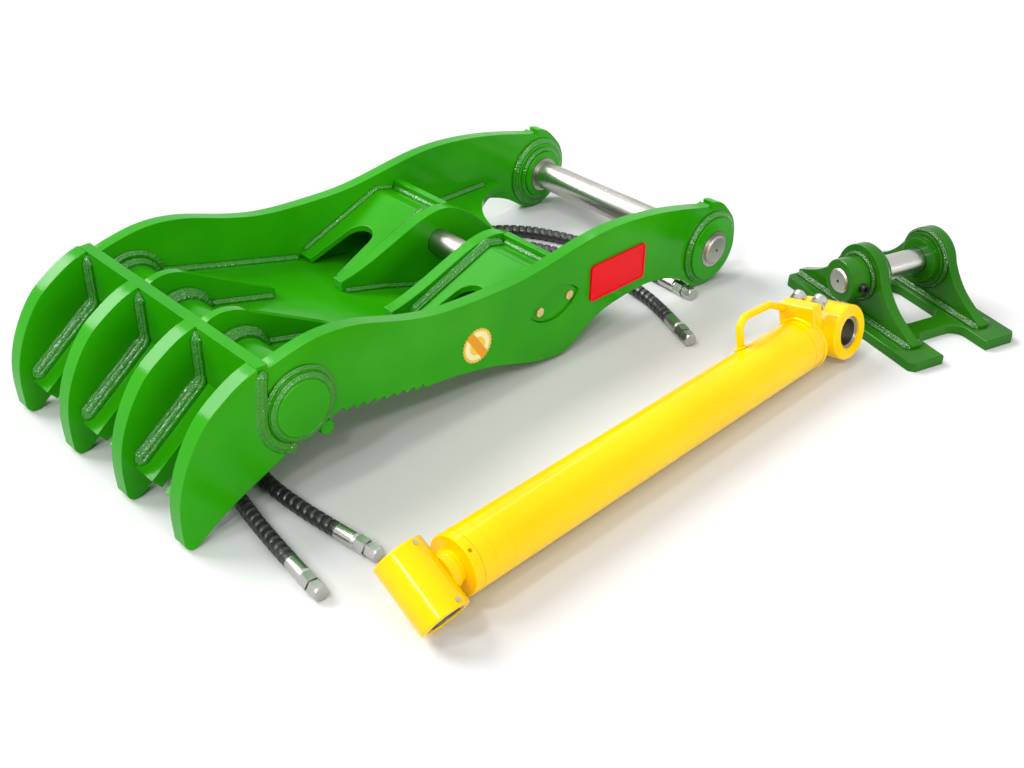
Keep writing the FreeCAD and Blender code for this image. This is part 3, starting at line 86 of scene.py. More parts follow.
FLOOR_GAP = 0.0004
FLOOR_Z = cad_box[0][2] - FLOOR_GAP
FLOOR_HALF = 20.0
FLOOR_TONE = 0.73

floor_mesh = bpy.data.meshes.new("floor")
floor_mesh.from_pydata([(-FLOOR_HALF, -FLOOR_HALF, FLOOR_Z), (FLOOR_HALF, -FLOOR_HALF, FLOOR_Z),
                        (FLOOR_HALF, FLOOR_HALF, FLOOR_Z), (-FLOOR_HALF, FLOOR_HALF, FLOOR_Z)],
                       [], [(0, 1, 2, 3)])
floor = bpy.data.objects.new("floor", floor_mesh)
bpy.context.scene.collection.objects.link(floor)
floor_material = bpy.data.materials.new("floor_white")
floor_material.use_nodes = True
floor_shader = floor_material.node_tree.nodes["Principled BSDF"]
floor_shader.inputs["Roughness"].default_value = 1.0
floor_shader.inputs["Specular IOR Level"].default_value = 0.0
floor_shader.inputs["Base Color"].default_value = (FLOOR_TONE, FLOOR_TONE, FLOOR_TONE, 1.0)
floor_mesh.materials.append(floor_material)

world = bpy.data.worlds.new("studio")
world.use_nodes = True
bpy.context.scene.world = world
sky = world.node_tree
sky.nodes.clear()
sky_place = sky.nodes.new("ShaderNodeTexCoord")
sky_split = sky.nodes.new("ShaderNodeSeparateXYZ")
sky_height = sky.nodes.new("ShaderNodeMapRange")
for socket_name, value in (("From Min", -0.1), ("From Max", 0.9), ("To Min", 0.12), ("To Max", 0.38)):
    sky_height.inputs[socket_name].default_value = value
sky_light = sky.nodes.new("ShaderNodeBackground")
sky_plain = sky.nodes.new("ShaderNodeBackground")
sky_plain.inputs["Color"].default_value = (1.0, 1.0, 1.0, 1.0)
sky_ray = sky.nodes.new("ShaderNodeLightPath")
sky_mix = sky.nodes.new("ShaderNodeMixShader")
sky_out = sky.nodes.new("ShaderNodeOutputWorld")
sky.links.new(sky_place.outputs["Generated"], sky_split.inputs[0])
sky.links.new(sky_split.outputs["Z"], sky_height.inputs["Value"])
sky.links.new(sky_height.outputs["Result"], sky_light.inputs["Strength"])
sky_seen = sky_ray.outputs["Is Camera Ray"]
for ray_kind in ("Is Glossy Ray", "Is Transmission Ray"):
    either = sky.nodes.new("ShaderNodeMath")
    either.operation = "MAXIMUM"
    sky.links.new(sky_seen, either.inputs[0])
    sky.links.new(sky_ray.outputs[ray_kind], either.inputs[1])
    sky_seen = either.outputs["Value"]
sky.links.new(sky_seen, sky_mix.inputs[0])
sky.links.new(sky_light.outputs[0], sky_mix.inputs[1])
sky.links.new(sky_plain.outputs[0], sky_mix.inputs[2])
sky.links.new(sky_mix.outputs[0], sky_out.inputs[0])

KIT_MIDDLE = (-0.35, -0.20, 0.0)
ROOF_HEIGHT = 2.8
TUBE_COUNT = 6
FIRST_TUBE, TUBE_SPACING = np.array([-3.2, -0.9]), np.array([0.95, 0.5])
sun_light("high", (-0.42, 1.0, 1.0), 2.6, 0.60)
sun_light("low", (0.05, -1.0, 0.28), 1.35, 0.45)
sun_light("lamp_1", (-0.80, -0.25, 0.75), 0.55, 0.10)
sun_light("lamp_2", (-0.55, 0.10, 1.00), 0.50, 0.10)
sun_light("lamp_3", (-0.70, -0.60, 0.90), 0.55, 0.10)
area_light("roof_tube", (-0.4, 2.2, ROOF_HEIGHT), KIT_MIDDLE, 2.2, 0.40, 7.0)
area_light("front_tube", (-0.9, -2.6, ROOF_HEIGHT), KIT_MIDDLE, 2.2, 0.20, 7.0)
for tube_number in range(TUBE_COUNT):
    tube_place = (*(TUBE_SPACING * tube_number + FIRST_TUBE), ROOF_HEIGHT)
    area_light("tube_%d" % (tube_number + 1), tube_place, KIT_MIDDLE, 0.045, 1.5, 3.5)

CAMERA_PLACE = (-1.9458, -1.6583, 1.2205)
CAMERA_RIGHT = Vector((0.7178, -0.6960, 0.0201))
CAMERA_DOWN = Vector((-0.3727, -0.4085, -0.8332))
CAMERA_AHEAD = Vector((0.5880, 0.5906, -0.5526))
CAMERA_LENS = 45.7

camera_data = bpy.data.cameras.new("camera")
camera_data.lens = CAMERA_LENS
camera_data.sensor_width = 36.0
camera = bpy.data.objects.new("camera", camera_data)
bpy.context.scene.collection.objects.link(camera)
turn = Matrix((CAMERA_RIGHT, -CAMERA_DOWN, -CAMERA_AHEAD)).transposed()
camera.matrix_world = Matrix.Translation(CAMERA_PLACE) @ turn.to_quaternion().to_matrix().to_4x4()
bpy.context.scene.camera = camera
bpy.context.scene.view_settings.view_transform = "Standard"


# Hoses
# Two rubber hoses in black spiral guards lie loose under the thumb, with a crimped steel
# ferrule, a swivel nut and a plug at each end.

def grid_mesh(name, points, closed_ends):
    """Mesh of a tube from an array of rings: point (i, j) joins (i, j + 1) and (i + 1, j), j closing."""
    rings, sides = points.shape[:2]
    i, j = np.meshgrid(np.arange(rings - 1), np.arange(sides), indexing="ij")
    k = (j + 1) % sides
    quads = np.stack([i * sides + j, i * sides + k, (i + 1) * sides + k, (i + 1) * sides + j], axis=-1)
    faces = quads.reshape(-1, 4).tolist()
    if closed_ends:
        faces.append(list(range(sides))[::-1])
        faces.append([(rings - 1) * sides + n for n in range(sides)])
    mesh = bpy.data.meshes.new(name)
    mesh.from_pydata(points.reshape(-1, 3).tolist(), [], faces)
    mesh.validate()
    return mesh


def finished(name, mesh, body, paint):
    """A linked piece from a mesh: normals outward, shaded smooth, riding on its body."""
    work = bmesh.new()
    work.from_mesh(mesh)
    bmesh.ops.recalc_face_normals(work, faces=work.faces)
    work.to_mesh(mesh)
    work.free()
    mesh.shade_smooth()
    mesh.materials.append(paint)
    piece = bpy.data.objects.new(name, mesh)
    bpy.context.scene.collection.objects.link(piece)
    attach(piece, body)
    return piece


PLAIN_GLOSS = 0.17


def plain_material(name, colour, roughness, metallic):
    """A principled material with its uniform values set on the sockets."""
    made = bpy.data.materials.new(name)
    made.use_nodes = True
    shader = made.node_tree.nodes["Principled BSDF"]
    shader.inputs["Base Color"].default_value = (*colour, 1.0)
    shader.inputs["Roughness"].default_value = roughness
    shader.inputs["Metallic"].default_value = metallic
    shader.inputs["Specular IOR Level"].default_value = PLAIN_GLOSS
    return made


def glossed(made, level):
    """The same material with a specular level of its own."""
    made.node_tree.nodes["Principled BSDF"].inputs["Specular IOR Level"].default_value = level
    return made


TINT_SCALE, TINT_FROM, TINT_TO = 6.0, 0.35, 0.65


def film_group(name, wave_scale, wave_depth, grain_scale, grain_depth):
    """Group that puts out a slow tint mask and a normal with waves and fine grain."""
    group = bpy.data.node_groups.new(name, "ShaderNodeTree")
    group.interface.new_socket("Tint", in_out="OUTPUT", socket_type="NodeSocketFloat")
    group.interface.new_socket("Normal", in_out="OUTPUT", socket_type="NodeSocketVector")
    nodes, links = group.nodes, group.links
    place = nodes.new("ShaderNodeTexCoord")
    tint = nodes.new("ShaderNodeTexNoise")
    tint.inputs["Scale"].default_value = TINT_SCALE
    spread = nodes.new("ShaderNodeMapRange")
    spread.inputs["From Min"].default_value = TINT_FROM
    spread.inputs["From Max"].default_value = TINT_TO
    links.new(place.outputs["Object"], tint.inputs["Vector"])
    links.new(tint.outputs["Fac"], spread.inputs["Value"])
    normal = None
    for scale, depth in ((wave_scale, wave_depth), (grain_scale, grain_depth)):
        noise = nodes.new("ShaderNodeTexNoise")
        noise.inputs["Scale"].default_value = scale
        bump = nodes.new("ShaderNodeBump")
        bump.inputs["Distance"].default_value = depth
        links.new(place.outputs["Object"], noise.inputs["Vector"])
        links.new(noise.outputs["Fac"], bump.inputs["Height"])
        if normal:
            links.new(normal, bump.inputs["Normal"])
        normal = bump.outputs["Normal"]
    out = nodes.new("NodeGroupOutput")
    links.new(spread.outputs["Result"], out.inputs["Tint"])
    links.new(normal, out.inputs["Normal"])
    return group


def filmed(made, group, other_colour, other_roughness):
    """Mixes a material's colour and roughness towards others by the group's tint, with its normal."""
    tree = made.node_tree
    shader = tree.nodes["Principled BSDF"]
    film = tree.nodes.new("ShaderNodeGroup")
    film.node_tree = group
    tint = tree.nodes.new("ShaderNodeMix")
    tint.data_type = "RGBA"
    tint.inputs["A"].default_value = shader.inputs["Base Color"].default_value
    tint.inputs["B"].default_value = (*other_colour, 1.0)
    rough = tree.nodes.new("ShaderNodeMapRange")
    rough.inputs["To Min"].default_value = shader.inputs["Roughness"].default_value
    rough.inputs["To Max"].default_value = other_roughness
    tree.links.new(film.outputs["Tint"], tint.inputs["Factor"])
    tree.links.new(film.outputs["Tint"], rough.inputs["Value"])
    tree.links.new(tint.outputs["Result"], shader.inputs["Base Color"])
    tree.links.new(rough.outputs["Result"], shader.inputs["Roughness"])
    tree.links.new(film.outputs["Normal"], shader.inputs["Normal"])
    return made


def dressed(names, paint):
    """Gives CAD nodes a material in place of their own."""
    for name in names:
        node = frame["nodes"][name]
        node.data.materials.clear()
        node.data.materials.append(paint)


PIN_PLACE = Vector((1.230, 0.265, 0.085))
HOSE_DIAMETER = 0.026
HOSE_RADIUS = HOSE_DIAMETER / 2
HOSE_LEVEL = FLOOR_Z + FLOOR_GAP + HOSE_RADIUS
GUARD_PITCH = 0.016
GUARD_DEPTH = 0.0024
GUARD_BAND = 0.68
GUARD_FLARE = 2.2
HOSE_SIDES = 20
HOSE_STEP = 0.0018
HOSE_ROUTES = {
    "hose_1": [(0.180, -0.125), (0.169, -0.035), (0.170, 0.060), (0.192, 0.155), (0.252, 0.240),
               (0.360, 0.310), (0.520, 0.362), (0.700, 0.400), (0.860, 0.425), (0.975, 0.420),
               (1.050, 0.360), (1.088, 0.270), (1.098, 0.170), (1.090, 0.080), (1.073, 0.005),
               (1.048, -0.055)],
    "hose_2": [(0.085, -0.135), (0.096, -0.045), (0.114, 0.045), (0.136, 0.150), (0.195, 0.262),
               (0.305, 0.355), (0.470, 0.418), (0.660, 0.455), (0.850, 0.480), (0.990, 0.484),
               (1.085, 0.430), (1.138, 0.338), (1.164, 0.240), (1.168, 0.145), (1.162, 0.062)],
}


def spline_points(name, route):
    """Points read along the route's own smooth spline, as an array."""
    curve = bpy.data.curves.new(name + "_route", "CURVE")
    curve.dimensions = "3D"
    curve.resolution_u = 24
    spline = curve.splines.new("NURBS")
    spline.points.add(len(route) - 1)
    for point, (x, y) in zip(spline.points, route):
        point.co = (x - PIN_PLACE.x, y - PIN_PLACE.y, HOSE_LEVEL, 1.0)
    spline.order_u = 3
    spline.use_endpoint_u = True
    holder = bpy.data.objects.new(name + "_route", curve)
    mesh = bpy.data.meshes.new_from_object(holder)
    points = np.empty(len(mesh.vertices) * 3)
    mesh.vertices.foreach_get("co", points)
    bpy.data.objects.remove(holder)
    bpy.data.meshes.remove(mesh)
    bpy.data.curves.remove(curve)
    return points.reshape(-1, 3)


def evenly_spaced(points, step):
    """The same line with points a step apart, and how far along it each is. Further columns follow."""
    along = np.concatenate([[0.0], np.cumsum(np.linalg.norm(np.diff(points[:, :3], axis=0), axis=1))])
    at = np.linspace(0.0, along[-1], int(along[-1] / step) + 1)
    return np.stack([np.interp(at, along, points[:, n]) for n in range(points.shape[1])], axis=1), at


def guarded_hose(name, points):
    """Tube in a spiral band, with one ring of points for each step along its line.

    At distance s and angle a its radius is R - depth * groove((s / pitch - a / 2pi) mod 1).
    """
    line, along = evenly_spaced(points, HOSE_STEP)
    ahead = np.gradient(line, axis=0)
    ahead /= np.linalg.norm(ahead, axis=1, keepdims=True)
    up = np.array([0.0, 0.0, 1.0])
    side = np.cross(up, ahead)
    angle = np.linspace(0.0, 2 * math.pi, HOSE_SIDES, endpoint=False)
    share = (along[:, None] / GUARD_PITCH - angle[None, :] / (2 * math.pi)) % 1.0
    groove = np.clip(1.0 - np.abs(share - (1 + GUARD_BAND) / 2) / ((1 - GUARD_BAND) / 2), 0.0, 1.0)
    radius = HOSE_RADIUS - GUARD_DEPTH * np.minimum(1.0, GUARD_FLARE * groove)
    ring = side[:, None, :] * np.cos(angle)[None, :, None] + up * np.sin(angle)[None, :, None]
    return grid_mesh(name, line[:, None, :] + radius[:, :, None] * ring, True)


rubber = filmed(plain_material("hose_rubber", (0.012, 0.012, 0.013), 0.24, 0.0),
                film_group("rubber_skin", 40.0, 0.0004, 420.0, 0.0002), (0.030, 0.029, 0.028), 0.36)
glossed(rubber, 0.60)
bright_zinc = filmed(plain_material("zinc_fittings", (0.58, 0.575, 0.55), 0.22, 1.0),
                     film_group("zinc_skin", 60.0, 0.00006, 400.0, 0.00003), (0.48, 0.475, 0.45), 0.32)
for hose_name, route in HOSE_ROUTES.items():
    followed = spline_points(hose_name, route)
    hose = finished(hose_name + "_guarded", guarded_hose(hose_name, followed), "thumb",
                    rubber)
    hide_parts(hose_name)
dressed(("hose_ferrules", "hose_nuts", "hose_plugs", "port_adapters", "port_plugs", "grease_nipples"),
        bright_zinc)


# Thumb weldment
# Flame-cut steel plates and a round tube, welded together and sprayed in thick glossy green
# paint. The paint rounds every edge, so each plate is drawn with a small soft edge.

SAME_PLACE = 1e-6
FLAT_ANGLE, SMOOTH_ANGLE, EDGE_ANGLE = math.radians(0.5), math.radians(32), math.radians(40)


def softened(name, body, paint, edge):
    """A merged copy of a CAD node with rounded edges, shown in its place."""
    work = bmesh.new()
    work.from_mesh(frame["nodes"][name].data)
    bmesh.ops.remove_doubles(work, verts=work.verts, dist=SAME_PLACE)
    bmesh.ops.dissolve_limit(work, angle_limit=FLAT_ANGLE, verts=work.verts, edges=work.edges)
    mesh = bpy.data.meshes.new(name + "_painted")
    work.to_mesh(mesh)
    work.free()
    mesh.shade_smooth()
    mesh.set_sharp_from_angle(angle=SMOOTH_ANGLE)
    mesh.materials.append(paint)
    piece = bpy.data.objects.new(name + "_painted", mesh)
    bpy.context.scene.collection.objects.link(piece)
    bevel = piece.modifiers.new("soft_edge", "BEVEL")
    bevel.width = edge
    bevel.segments = 2
    bevel.limit_method = "ANGLE"
    bevel.angle_limit = EDGE_ANGLE
    bevel.harden_normals = True
    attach(piece, body)
    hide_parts(name)
    return piece


def slot_nodes(slot):
    """Names of the CAD nodes that carry a material slot."""
    return [part["node"] for part in frame["record"]["subparts"] if part["material_slot"] == slot]


PAINT_EDGE = 0.0013
paint_film = film_group("paint_film", 16.0, 0.0008, 300.0, 0.00012)
green_paint = filmed(plain_material("green_paint", (0.018, 0.295, 0.001), 0.11, 0.0), paint_film,
                     (0.028, 0.340, 0.002), 0.17)
for node_name in slot_nodes("green_paint"):
    softened(node_name, "thumb", green_paint, PAINT_EDGE)


# Comb welds
# Multi-pass fillets left as laid and painted over: they hold the tines to the slotted fingers
# and web, the outer tines to the side plates, and the fins and side plates to the tube.

def place(x, y, z):
    """A point in millimetres from the floor under the near tine tip, in the frame's metres."""
    return np.array([x, y, z]) / 1000.0 - np.array(PIN_PLACE)


def at_width(y, outline):
    return np.array([place(x, y, z) for x, z in outline])


ARC_POINTS = 90


def about_y(x, y, z, radius, first, last):
    """Places on an arc about a crosswise axis, in degrees from the rear, and the way outward at each."""
    angle = np.radians(np.linspace(first, last, ARC_POINTS))
    outward = np.stack([np.cos(angle), np.zeros_like(angle), np.sin(angle)], axis=1)
    return place(x, y, z) + outward * radius / 1000.0, outward


weld_skin = film_group("weld_skin", 130.0, 0.0016, 230.0, 0.0003)
# The beads are painted with a darker copy of the plates' green: painted shade for the fillet corners and
# ripples, while the glints come from the lamps.
shaded_weld_paint = filmed(plain_material("weld_green_painted_shade", (0.012, 0.200, 0.001), 0.04, 0.0), weld_skin,
                    (0.020, 0.255, 0.001), 0.07)
WELD_GLOSS = 0.60
glossed(shaded_weld_paint, WELD_GLOSS)
WELD_STEP = 0.0012
WELD_SHARES = 16
WELD_PITCH = 0.0060
WELD_ROOT = 0.0006
KNOT_STEP = 0.006
BOW, UNEVEN, LANE_LAG = 0.35, 0.22, 0.37
RIDGE, WAVE, EDGE_FALL, END_FALL = 1.1, 0.75, 6, 0.7


def weld_bead(name, body, slot, paint, path, to_a, to_b, passes=3, crown=0.0012, depth=0.0013, seed=1,
              closed=False):
    """Fillet with rippled passes, from directions along its two faces that hold their leg lengths.

    At distance s and share t across, the point is corner(s) + a (1 - t) + b t + n h, where n is the
    outward mean of a and b, and h = crown sin(pi t) + depth (RIDGE ridge(u) + WAVE |cos(pi phase)|).
    Here u is the share across one pass, ridge(u) the half circle sqrt(1 - (2u - 1)^2), and phase is
    s / pitch + BOW (2u - 1)^2, later by LANE_LAG in each pass. Seeded unevenness is added to both.
    """
    count = len(path)
    legs = [np.broadcast_to(leg, (count, 3)) for leg in (to_a, to_b)]
    rows, along = evenly_spaced(np.concatenate([path, *legs], axis=1), WELD_STEP)
    corner, a, b = rows[:, None, 0:3], rows[:, None, 3:6], rows[:, None, 6:9]
    outward = a / np.linalg.norm(a, axis=2, keepdims=True) + b / np.linalg.norm(b, axis=2, keepdims=True)
    outward = outward / np.maximum(np.linalg.norm(outward, axis=2, keepdims=True), 1e-6)
    rng = np.random.default_rng(seed)
    share = np.linspace(0.0, 1.0, WELD_SHARES)[None, :]
    lane = np.minimum((share * passes).astype(int), passes - 1)
    u = share * passes - lane
    knots = int(along[-1] / KNOT_STEP) + 3
    uneven = np.stack([np.interp(along, np.linspace(0, along[-1], knots), rng.normal(0, 1, knots))
                       for _ in range(passes)], axis=1)[:, lane[0]]
    phase = along[:, None] / WELD_PITCH + BOW * (2 * u - 1) ** 2 + UNEVEN * uneven + lane * LANE_LAG
    ridge = np.sqrt(np.clip(1 - (2 * u - 1) ** 2, 0.0, 1.0))
    ripple = ridge * RIDGE + WAVE * np.abs(np.cos(math.pi * phase)) + UNEVEN * uneven
    height = crown * np.sin(math.pi * share) + depth * ripple
    height = height * np.minimum(1.0, EDGE_FALL * np.minimum(share, 1 - share))
    taper = np.ones((len(along), 1))
    if not closed:
        reach = END_FALL * np.linalg.norm(rows[0, 3:6])
        taper = np.sqrt(np.clip(np.minimum(along, along[-1] - along) / reach, 0.02, 1.0))[:, None]
    face = corner + taper[:, :, None] * (a * (1 - share)[:, :, None] + b * share[:, :, None]
                                         + outward * height[:, :, None])
    root = corner - outward * WELD_ROOT
    return finished(name, grid_mesh(name, np.concatenate([face, root], axis=1), True), body, paint)


def green_weld(name, path, to_a, to_b, **shape):
    """A painted bead of the thumb, with its legs in millimetres."""
    return weld_bead(name, "thumb", "green_paint", shaded_weld_paint, path, np.array(to_a) / 1000.0,
                     np.array(to_b) / 1000.0, **shape)


KIT_WIDTH = 530.0


def on_side(side, y):
    return y if side == "near" else KIT_WIDTH - y


FINGER_NORMAL = np.array([-0.613, 0.0, 0.790])
FINGER_CORNER = ((12, 63), (76, 112.5), (138, 161), (143, 168), (145, 178), (145, 256))
TURN_SHARE = np.array([0.0, 0.0, 0.1, 0.5, 1.0, 1.0])[:, None]
FINGER_LEG, WEB_LEG, WEB_SIDE_LEG = 19.0, 13.0, 14.0
TINE_FACES = ((30.0, 1), (166.67, -1), (196.67, 1), (333.33, -1), (363.33, 1), (500.0, -1))
for number, (face_y, way) in enumerate(TINE_FACES):
    up_face = FINGER_NORMAL * FINGER_LEG * (1 - TURN_SHARE) - np.array([WEB_LEG, 0.0, 0.0]) * TURN_SHARE
    over_tine = np.array([0.0, way, 0.0]) * (FINGER_LEG * (1 - TURN_SHARE) + WEB_SIDE_LEG * TURN_SHARE)
    green_weld("weld_finger_%d" % (number + 1), at_width(face_y, FINGER_CORNER), up_face, over_tine,
               passes=3, seed=number + 10)

TUBE_X, TUBE_Z, TUBE_RADIUS = 215.0, 165.0, 50.0
COLLAR_RADIUS, COLLAR_THICK = 61.0, 7.0
JOINT_RADIUS, JOINT_DEPTH = 71.0, 2.5
JOINT_DOWN = ((152, 255), (148, 225), (146, 192))
SIDE_OUT, SIDE_IN = 5.0, 30.0
for side, way in (("near", -1), ("far", 1)):
    joint_y = on_side(side, JOINT_DEPTH)
    arc, arc_out = about_y(TUBE_X, joint_y, TUBE_Z, JOINT_RADIUS, 176, 262)
    joint = np.concatenate([at_width(joint_y, JOINT_DOWN), arc])
    inward = np.concatenate([np.tile([1.0, 0.0, 0.0], (len(JOINT_DOWN), 1)), -arc_out])
    green_weld("weld_joint_%s" % side, joint, inward * 12 + np.array([0.0, way * 1.0, 0.0]),
               inward * -13 + np.array([0.0, way * 1.0, 0.0]), passes=3, crown=0.0042, seed=31)
    rings = [("outer_tube", on_side(side, SIDE_OUT - COLLAR_THICK), TUBE_RADIUS, way, 10, 6, -180, 180),
             ("outer_collar", on_side(side, SIDE_OUT), COLLAR_RADIUS, way, 8, 6, -95, 172),
             ("inner_tube", on_side(side, SIDE_IN + COLLAR_THICK), TUBE_RADIUS, -way, 10, 13, -125, 118),
             ("inner_collar", on_side(side, SIDE_IN), COLLAR_RADIUS, -way, 11, 8, -125, 124)]
    for label, y, radius, out_way, leg, rise, first, last in rings:
        ring, outward = about_y(TUBE_X, y, TUBE_Z, radius, first, last)
        green_weld("weld_%s_%s" % (label, side), ring, outward * leg,
                   np.array([0.0, out_way * rise, 0.0]), passes=2, seed=41, closed=last - first == 360)

FIN_FOOT = ((275, 176.6), (340, 159.4), (404, 142.4))
FIN_FACES = ((173.67, -1), (189.67, 1), (340.33, -1), (356.33, 1))
for number, (face_y, way) in enumerate(FIN_FACES):
    ring, outward = about_y(TUBE_X, face_y, TUBE_Z, TUBE_RADIUS, -35, 122)
    green_weld("weld_fin_tube_%d" % (number + 1), ring, outward * 15, np.array([0.0, way * 20.0, 0.0]),
               passes=3, crown=0.0020, seed=51 + number)
    green_weld("weld_fin_floor_%d" % (number + 1), at_width(face_y, FIN_FOOT), (0.0, 0.0, 9.0),
               (0.0, way * 9.0, 0.0), passes=2, seed=61 + number)


# Floor, clevis and cover welds
# Single and double fillets run where the floor plate meets the side plates, round the clevis
# plates and up both edges of the sloping covers to their ridge.

SIDE_FRONT_LINE = ((272, 177.4), (572, 98.0))
SIDE_REAR_LINE = ((820, 54.0), (908, 102.0), (1066, 102.0))
CLEVIS_LINE = ((550, 103.8), (640, 80), (720, 54), (820, 54), (900, 97.6))
COVER_LINE = ((582.0, 109.8), (700.0, 157.2), (768.0, 184.0), (811.0, 173.4))
CLEVIS_OUT, CLEVIS_IN = 179.0, 204.0
RIM_X, RIM_Z, RIM_ENDS = 816, 172.2, (36.0, 173.0)
RUNS = (("side_front", SIDE_IN, SIDE_FRONT_LINE, 1, 12.0, 9.0, 1),
        ("side_rear", SIDE_IN, SIDE_REAR_LINE, 1, 10.0, 8.0, 2),
        ("clevis_in", CLEVIS_IN, CLEVIS_LINE, 1, 9.0, 8.0, 2),
        ("cover_clevis", CLEVIS_OUT, COVER_LINE, -1, 16.0, 11.0, 3),
        ("cover_side", SIDE_IN, COVER_LINE, 1, 8.0, 7.0, 1))
for side, way in (("near", 1), ("far", -1)):
    for label, y, outline, out_way, reach, rise, passes in RUNS:
        green_weld("weld_%s_%s" % (label, side), at_width(on_side(side, y), outline), (0.0, 0.0, rise),
                   (0.0, way * out_way * reach, 0.0), passes=passes, seed=71)
    ridge = np.array([place(RIM_X, on_side(side, y), RIM_Z) for y in RIM_ENDS])
    green_weld("weld_rim_%s" % side, ridge, (0.0, 0.0, 9.0), (-10.0, 0.0, 0.0), passes=1, seed=81)


# Pivot boss welds
# The two stepped steel bosses that carry the main pin's bushes are welded through the ears, with
# a two-pass fillet round each step.

PIVOT_X, PIVOT_Z = 1230.0, 85.0
FLANGE_RADIUS, CORE_RADIUS, FLANGE_THICK = 66.0, 51.5, 12.0
for side, way in (("near", -1), ("far", 1)):
    for label, y, radius, out_way, leg in (("ear_out", SIDE_OUT, FLANGE_RADIUS, way, 11),
                                           ("ear_in", SIDE_IN, FLANGE_RADIUS, -way, 11),
                                           ("step", SIDE_IN + FLANGE_THICK, CORE_RADIUS, -way, 8)):
        ring, outward = about_y(PIVOT_X, on_side(side, y), PIVOT_Z, radius, 0, 360)
        green_weld("weld_%s_%s" % (label, side), ring, outward * leg,
                   np.array([0.0, out_way * (leg - 1.0), 0.0]), passes=2, seed=91, closed=True)


# Pins and bushes
# Turned steel pins in bored bushes, bare and oiled, with fine turning marks. The pieces inside the
# cylinder are plainer turned steel, and its rod is ground and chromed.

def steel(name, colour, roughness, other, other_roughness, grain):
    """Bare metal whose tone and roughness drift slowly, under marks as fine as its grain says."""
    return filmed(plain_material(name, colour, roughness, 1.0),
                  film_group(name + "_skin", 60.0, 0.0002, grain, 0.00012), other, other_roughness)


pin_steel = steel("pin_steel", (0.55, 0.535, 0.505), 0.24, (0.40, 0.375, 0.34), 0.36, 700.0)
bush_steel = steel("bush_steel", (0.62, 0.60, 0.56), 0.24, (0.26, 0.24, 0.22), 0.42, 500.0)
inner_steel = steel("inner_steel", (0.42, 0.42, 0.42), 0.30, (0.30, 0.30, 0.30), 0.42, 500.0)
chrome = steel("chrome_rod", (0.78, 0.79, 0.80), 0.06, (0.70, 0.71, 0.72), 0.12, 900.0)
dressed(slot_nodes("pin_steel"), pin_steel)
dressed(slot_nodes("bush_steel"), bush_steel)
dressed(slot_nodes("inner_steel"), inner_steel)
dressed(slot_nodes("chrome_rod"), chrome)


# Keeper bolts, plate and seal
# Yellow-zinc bolts hold the pin keeper, and a bare red enamel plate and a round gold foil
# seal sit on the near side plate. The bracket's cross bolt is blackened, under a yellow-zinc nut.

gold_zinc = steel("gold_zinc", (0.92, 0.70, 0.36), 0.25, (0.78, 0.56, 0.26), 0.36, 600.0)
black_steel = steel("black_steel", (0.020, 0.020, 0.022), 0.35, (0.05, 0.05, 0.05), 0.5, 600.0)
red_enamel = filmed(plain_material("red_enamel", (0.80, 0.001, 0.010), 0.22, 0.0), paint_film,
                    (0.74, 0.001, 0.008), 0.28)
dressed(slot_nodes("gold_zinc"), gold_zinc)
dressed(slot_nodes("black_steel"), black_steel)
dressed(slot_nodes("red_enamel"), red_enamel)


def vector_of(values):
    """A place of three plain numbers."""
    return Vector([float(v) for v in values])


INNER_RING, OUTER_RING = 0.52, 0.82
RIBBON_ACROSS = (0.82, 0.0, 0.57)
RIBBON_HALF = 0.0085


def foil_material():
    """Gold foil in rings about the seal's middle, with an amber ribbon across them."""
    low, high = (vector_of(corner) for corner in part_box("round_seal"))
    middle = (low + high) / 2
    made = plain_material("gold_foil", (0.9, 0.6, 0.1), 0.28, 0.35)
    tree = made.node_tree
    nodes, links = tree.nodes, tree.links
    place = nodes.new("ShaderNodeTexCoord")
    local = nodes.new("ShaderNodeVectorMath")
    local.operation = "SUBTRACT"
    local.inputs[1].default_value = middle
    reach = nodes.new("ShaderNodeVectorMath")
    reach.operation = "LENGTH"
    share = nodes.new("ShaderNodeMath")
    share.operation = "DIVIDE"
    share.inputs[1].default_value = (high.x - low.x) / 2
    rings = nodes.new("ShaderNodeValToRGB")
    rings.color_ramp.interpolation = "CONSTANT"
    rings.color_ramp.elements[0].color = (0.95, 0.66, 0.08, 1.0)
    rings.color_ramp.elements[1].position = INNER_RING
    rings.color_ramp.elements[1].color = (0.98, 0.90, 0.55, 1.0)
    rim_ring = rings.color_ramp.elements.new(OUTER_RING)
    rim_ring.color = (0.90, 0.58, 0.10, 1.0)
    ribbon = nodes.new("ShaderNodeVectorMath")
    ribbon.operation = "DOT_PRODUCT"
    ribbon.inputs[1].default_value = RIBBON_ACROSS
    width = nodes.new("ShaderNodeMath")
    width.operation = "ABSOLUTE"
    inside = nodes.new("ShaderNodeMath")
    inside.operation = "LESS_THAN"
    inside.inputs[1].default_value = RIBBON_HALF
    blend = nodes.new("ShaderNodeMix")
    blend.data_type = "RGBA"
    blend.inputs["B"].default_value = (0.85, 0.36, 0.03, 1.0)
    links.new(place.outputs["Object"], local.inputs[0])
    links.new(local.outputs["Vector"], reach.inputs[0])
    links.new(reach.outputs["Value"], share.inputs[0])
    links.new(share.outputs["Value"], rings.inputs["Fac"])
    links.new(local.outputs["Vector"], ribbon.inputs[0])
    links.new(ribbon.outputs["Value"], width.inputs[0])
    links.new(width.outputs["Value"], inside.inputs[0])
    links.new(inside.outputs["Value"], blend.inputs["Factor"])
    links.new(rings.outputs["Color"], blend.inputs["A"])
    links.new(blend.outputs["Result"], nodes["Principled BSDF"].inputs["Base Color"])
    return made


dressed(("round_seal",), foil_material())


# Cylinder
# A bright yellow painted barrel with its gland, eyes, welded port block and lifting handle, which
# lies beside the thumb. Its seals are black rubber, thin dark seams ring it where pieces meet, and
# yellow overspray covers the neck of its chromed rod.

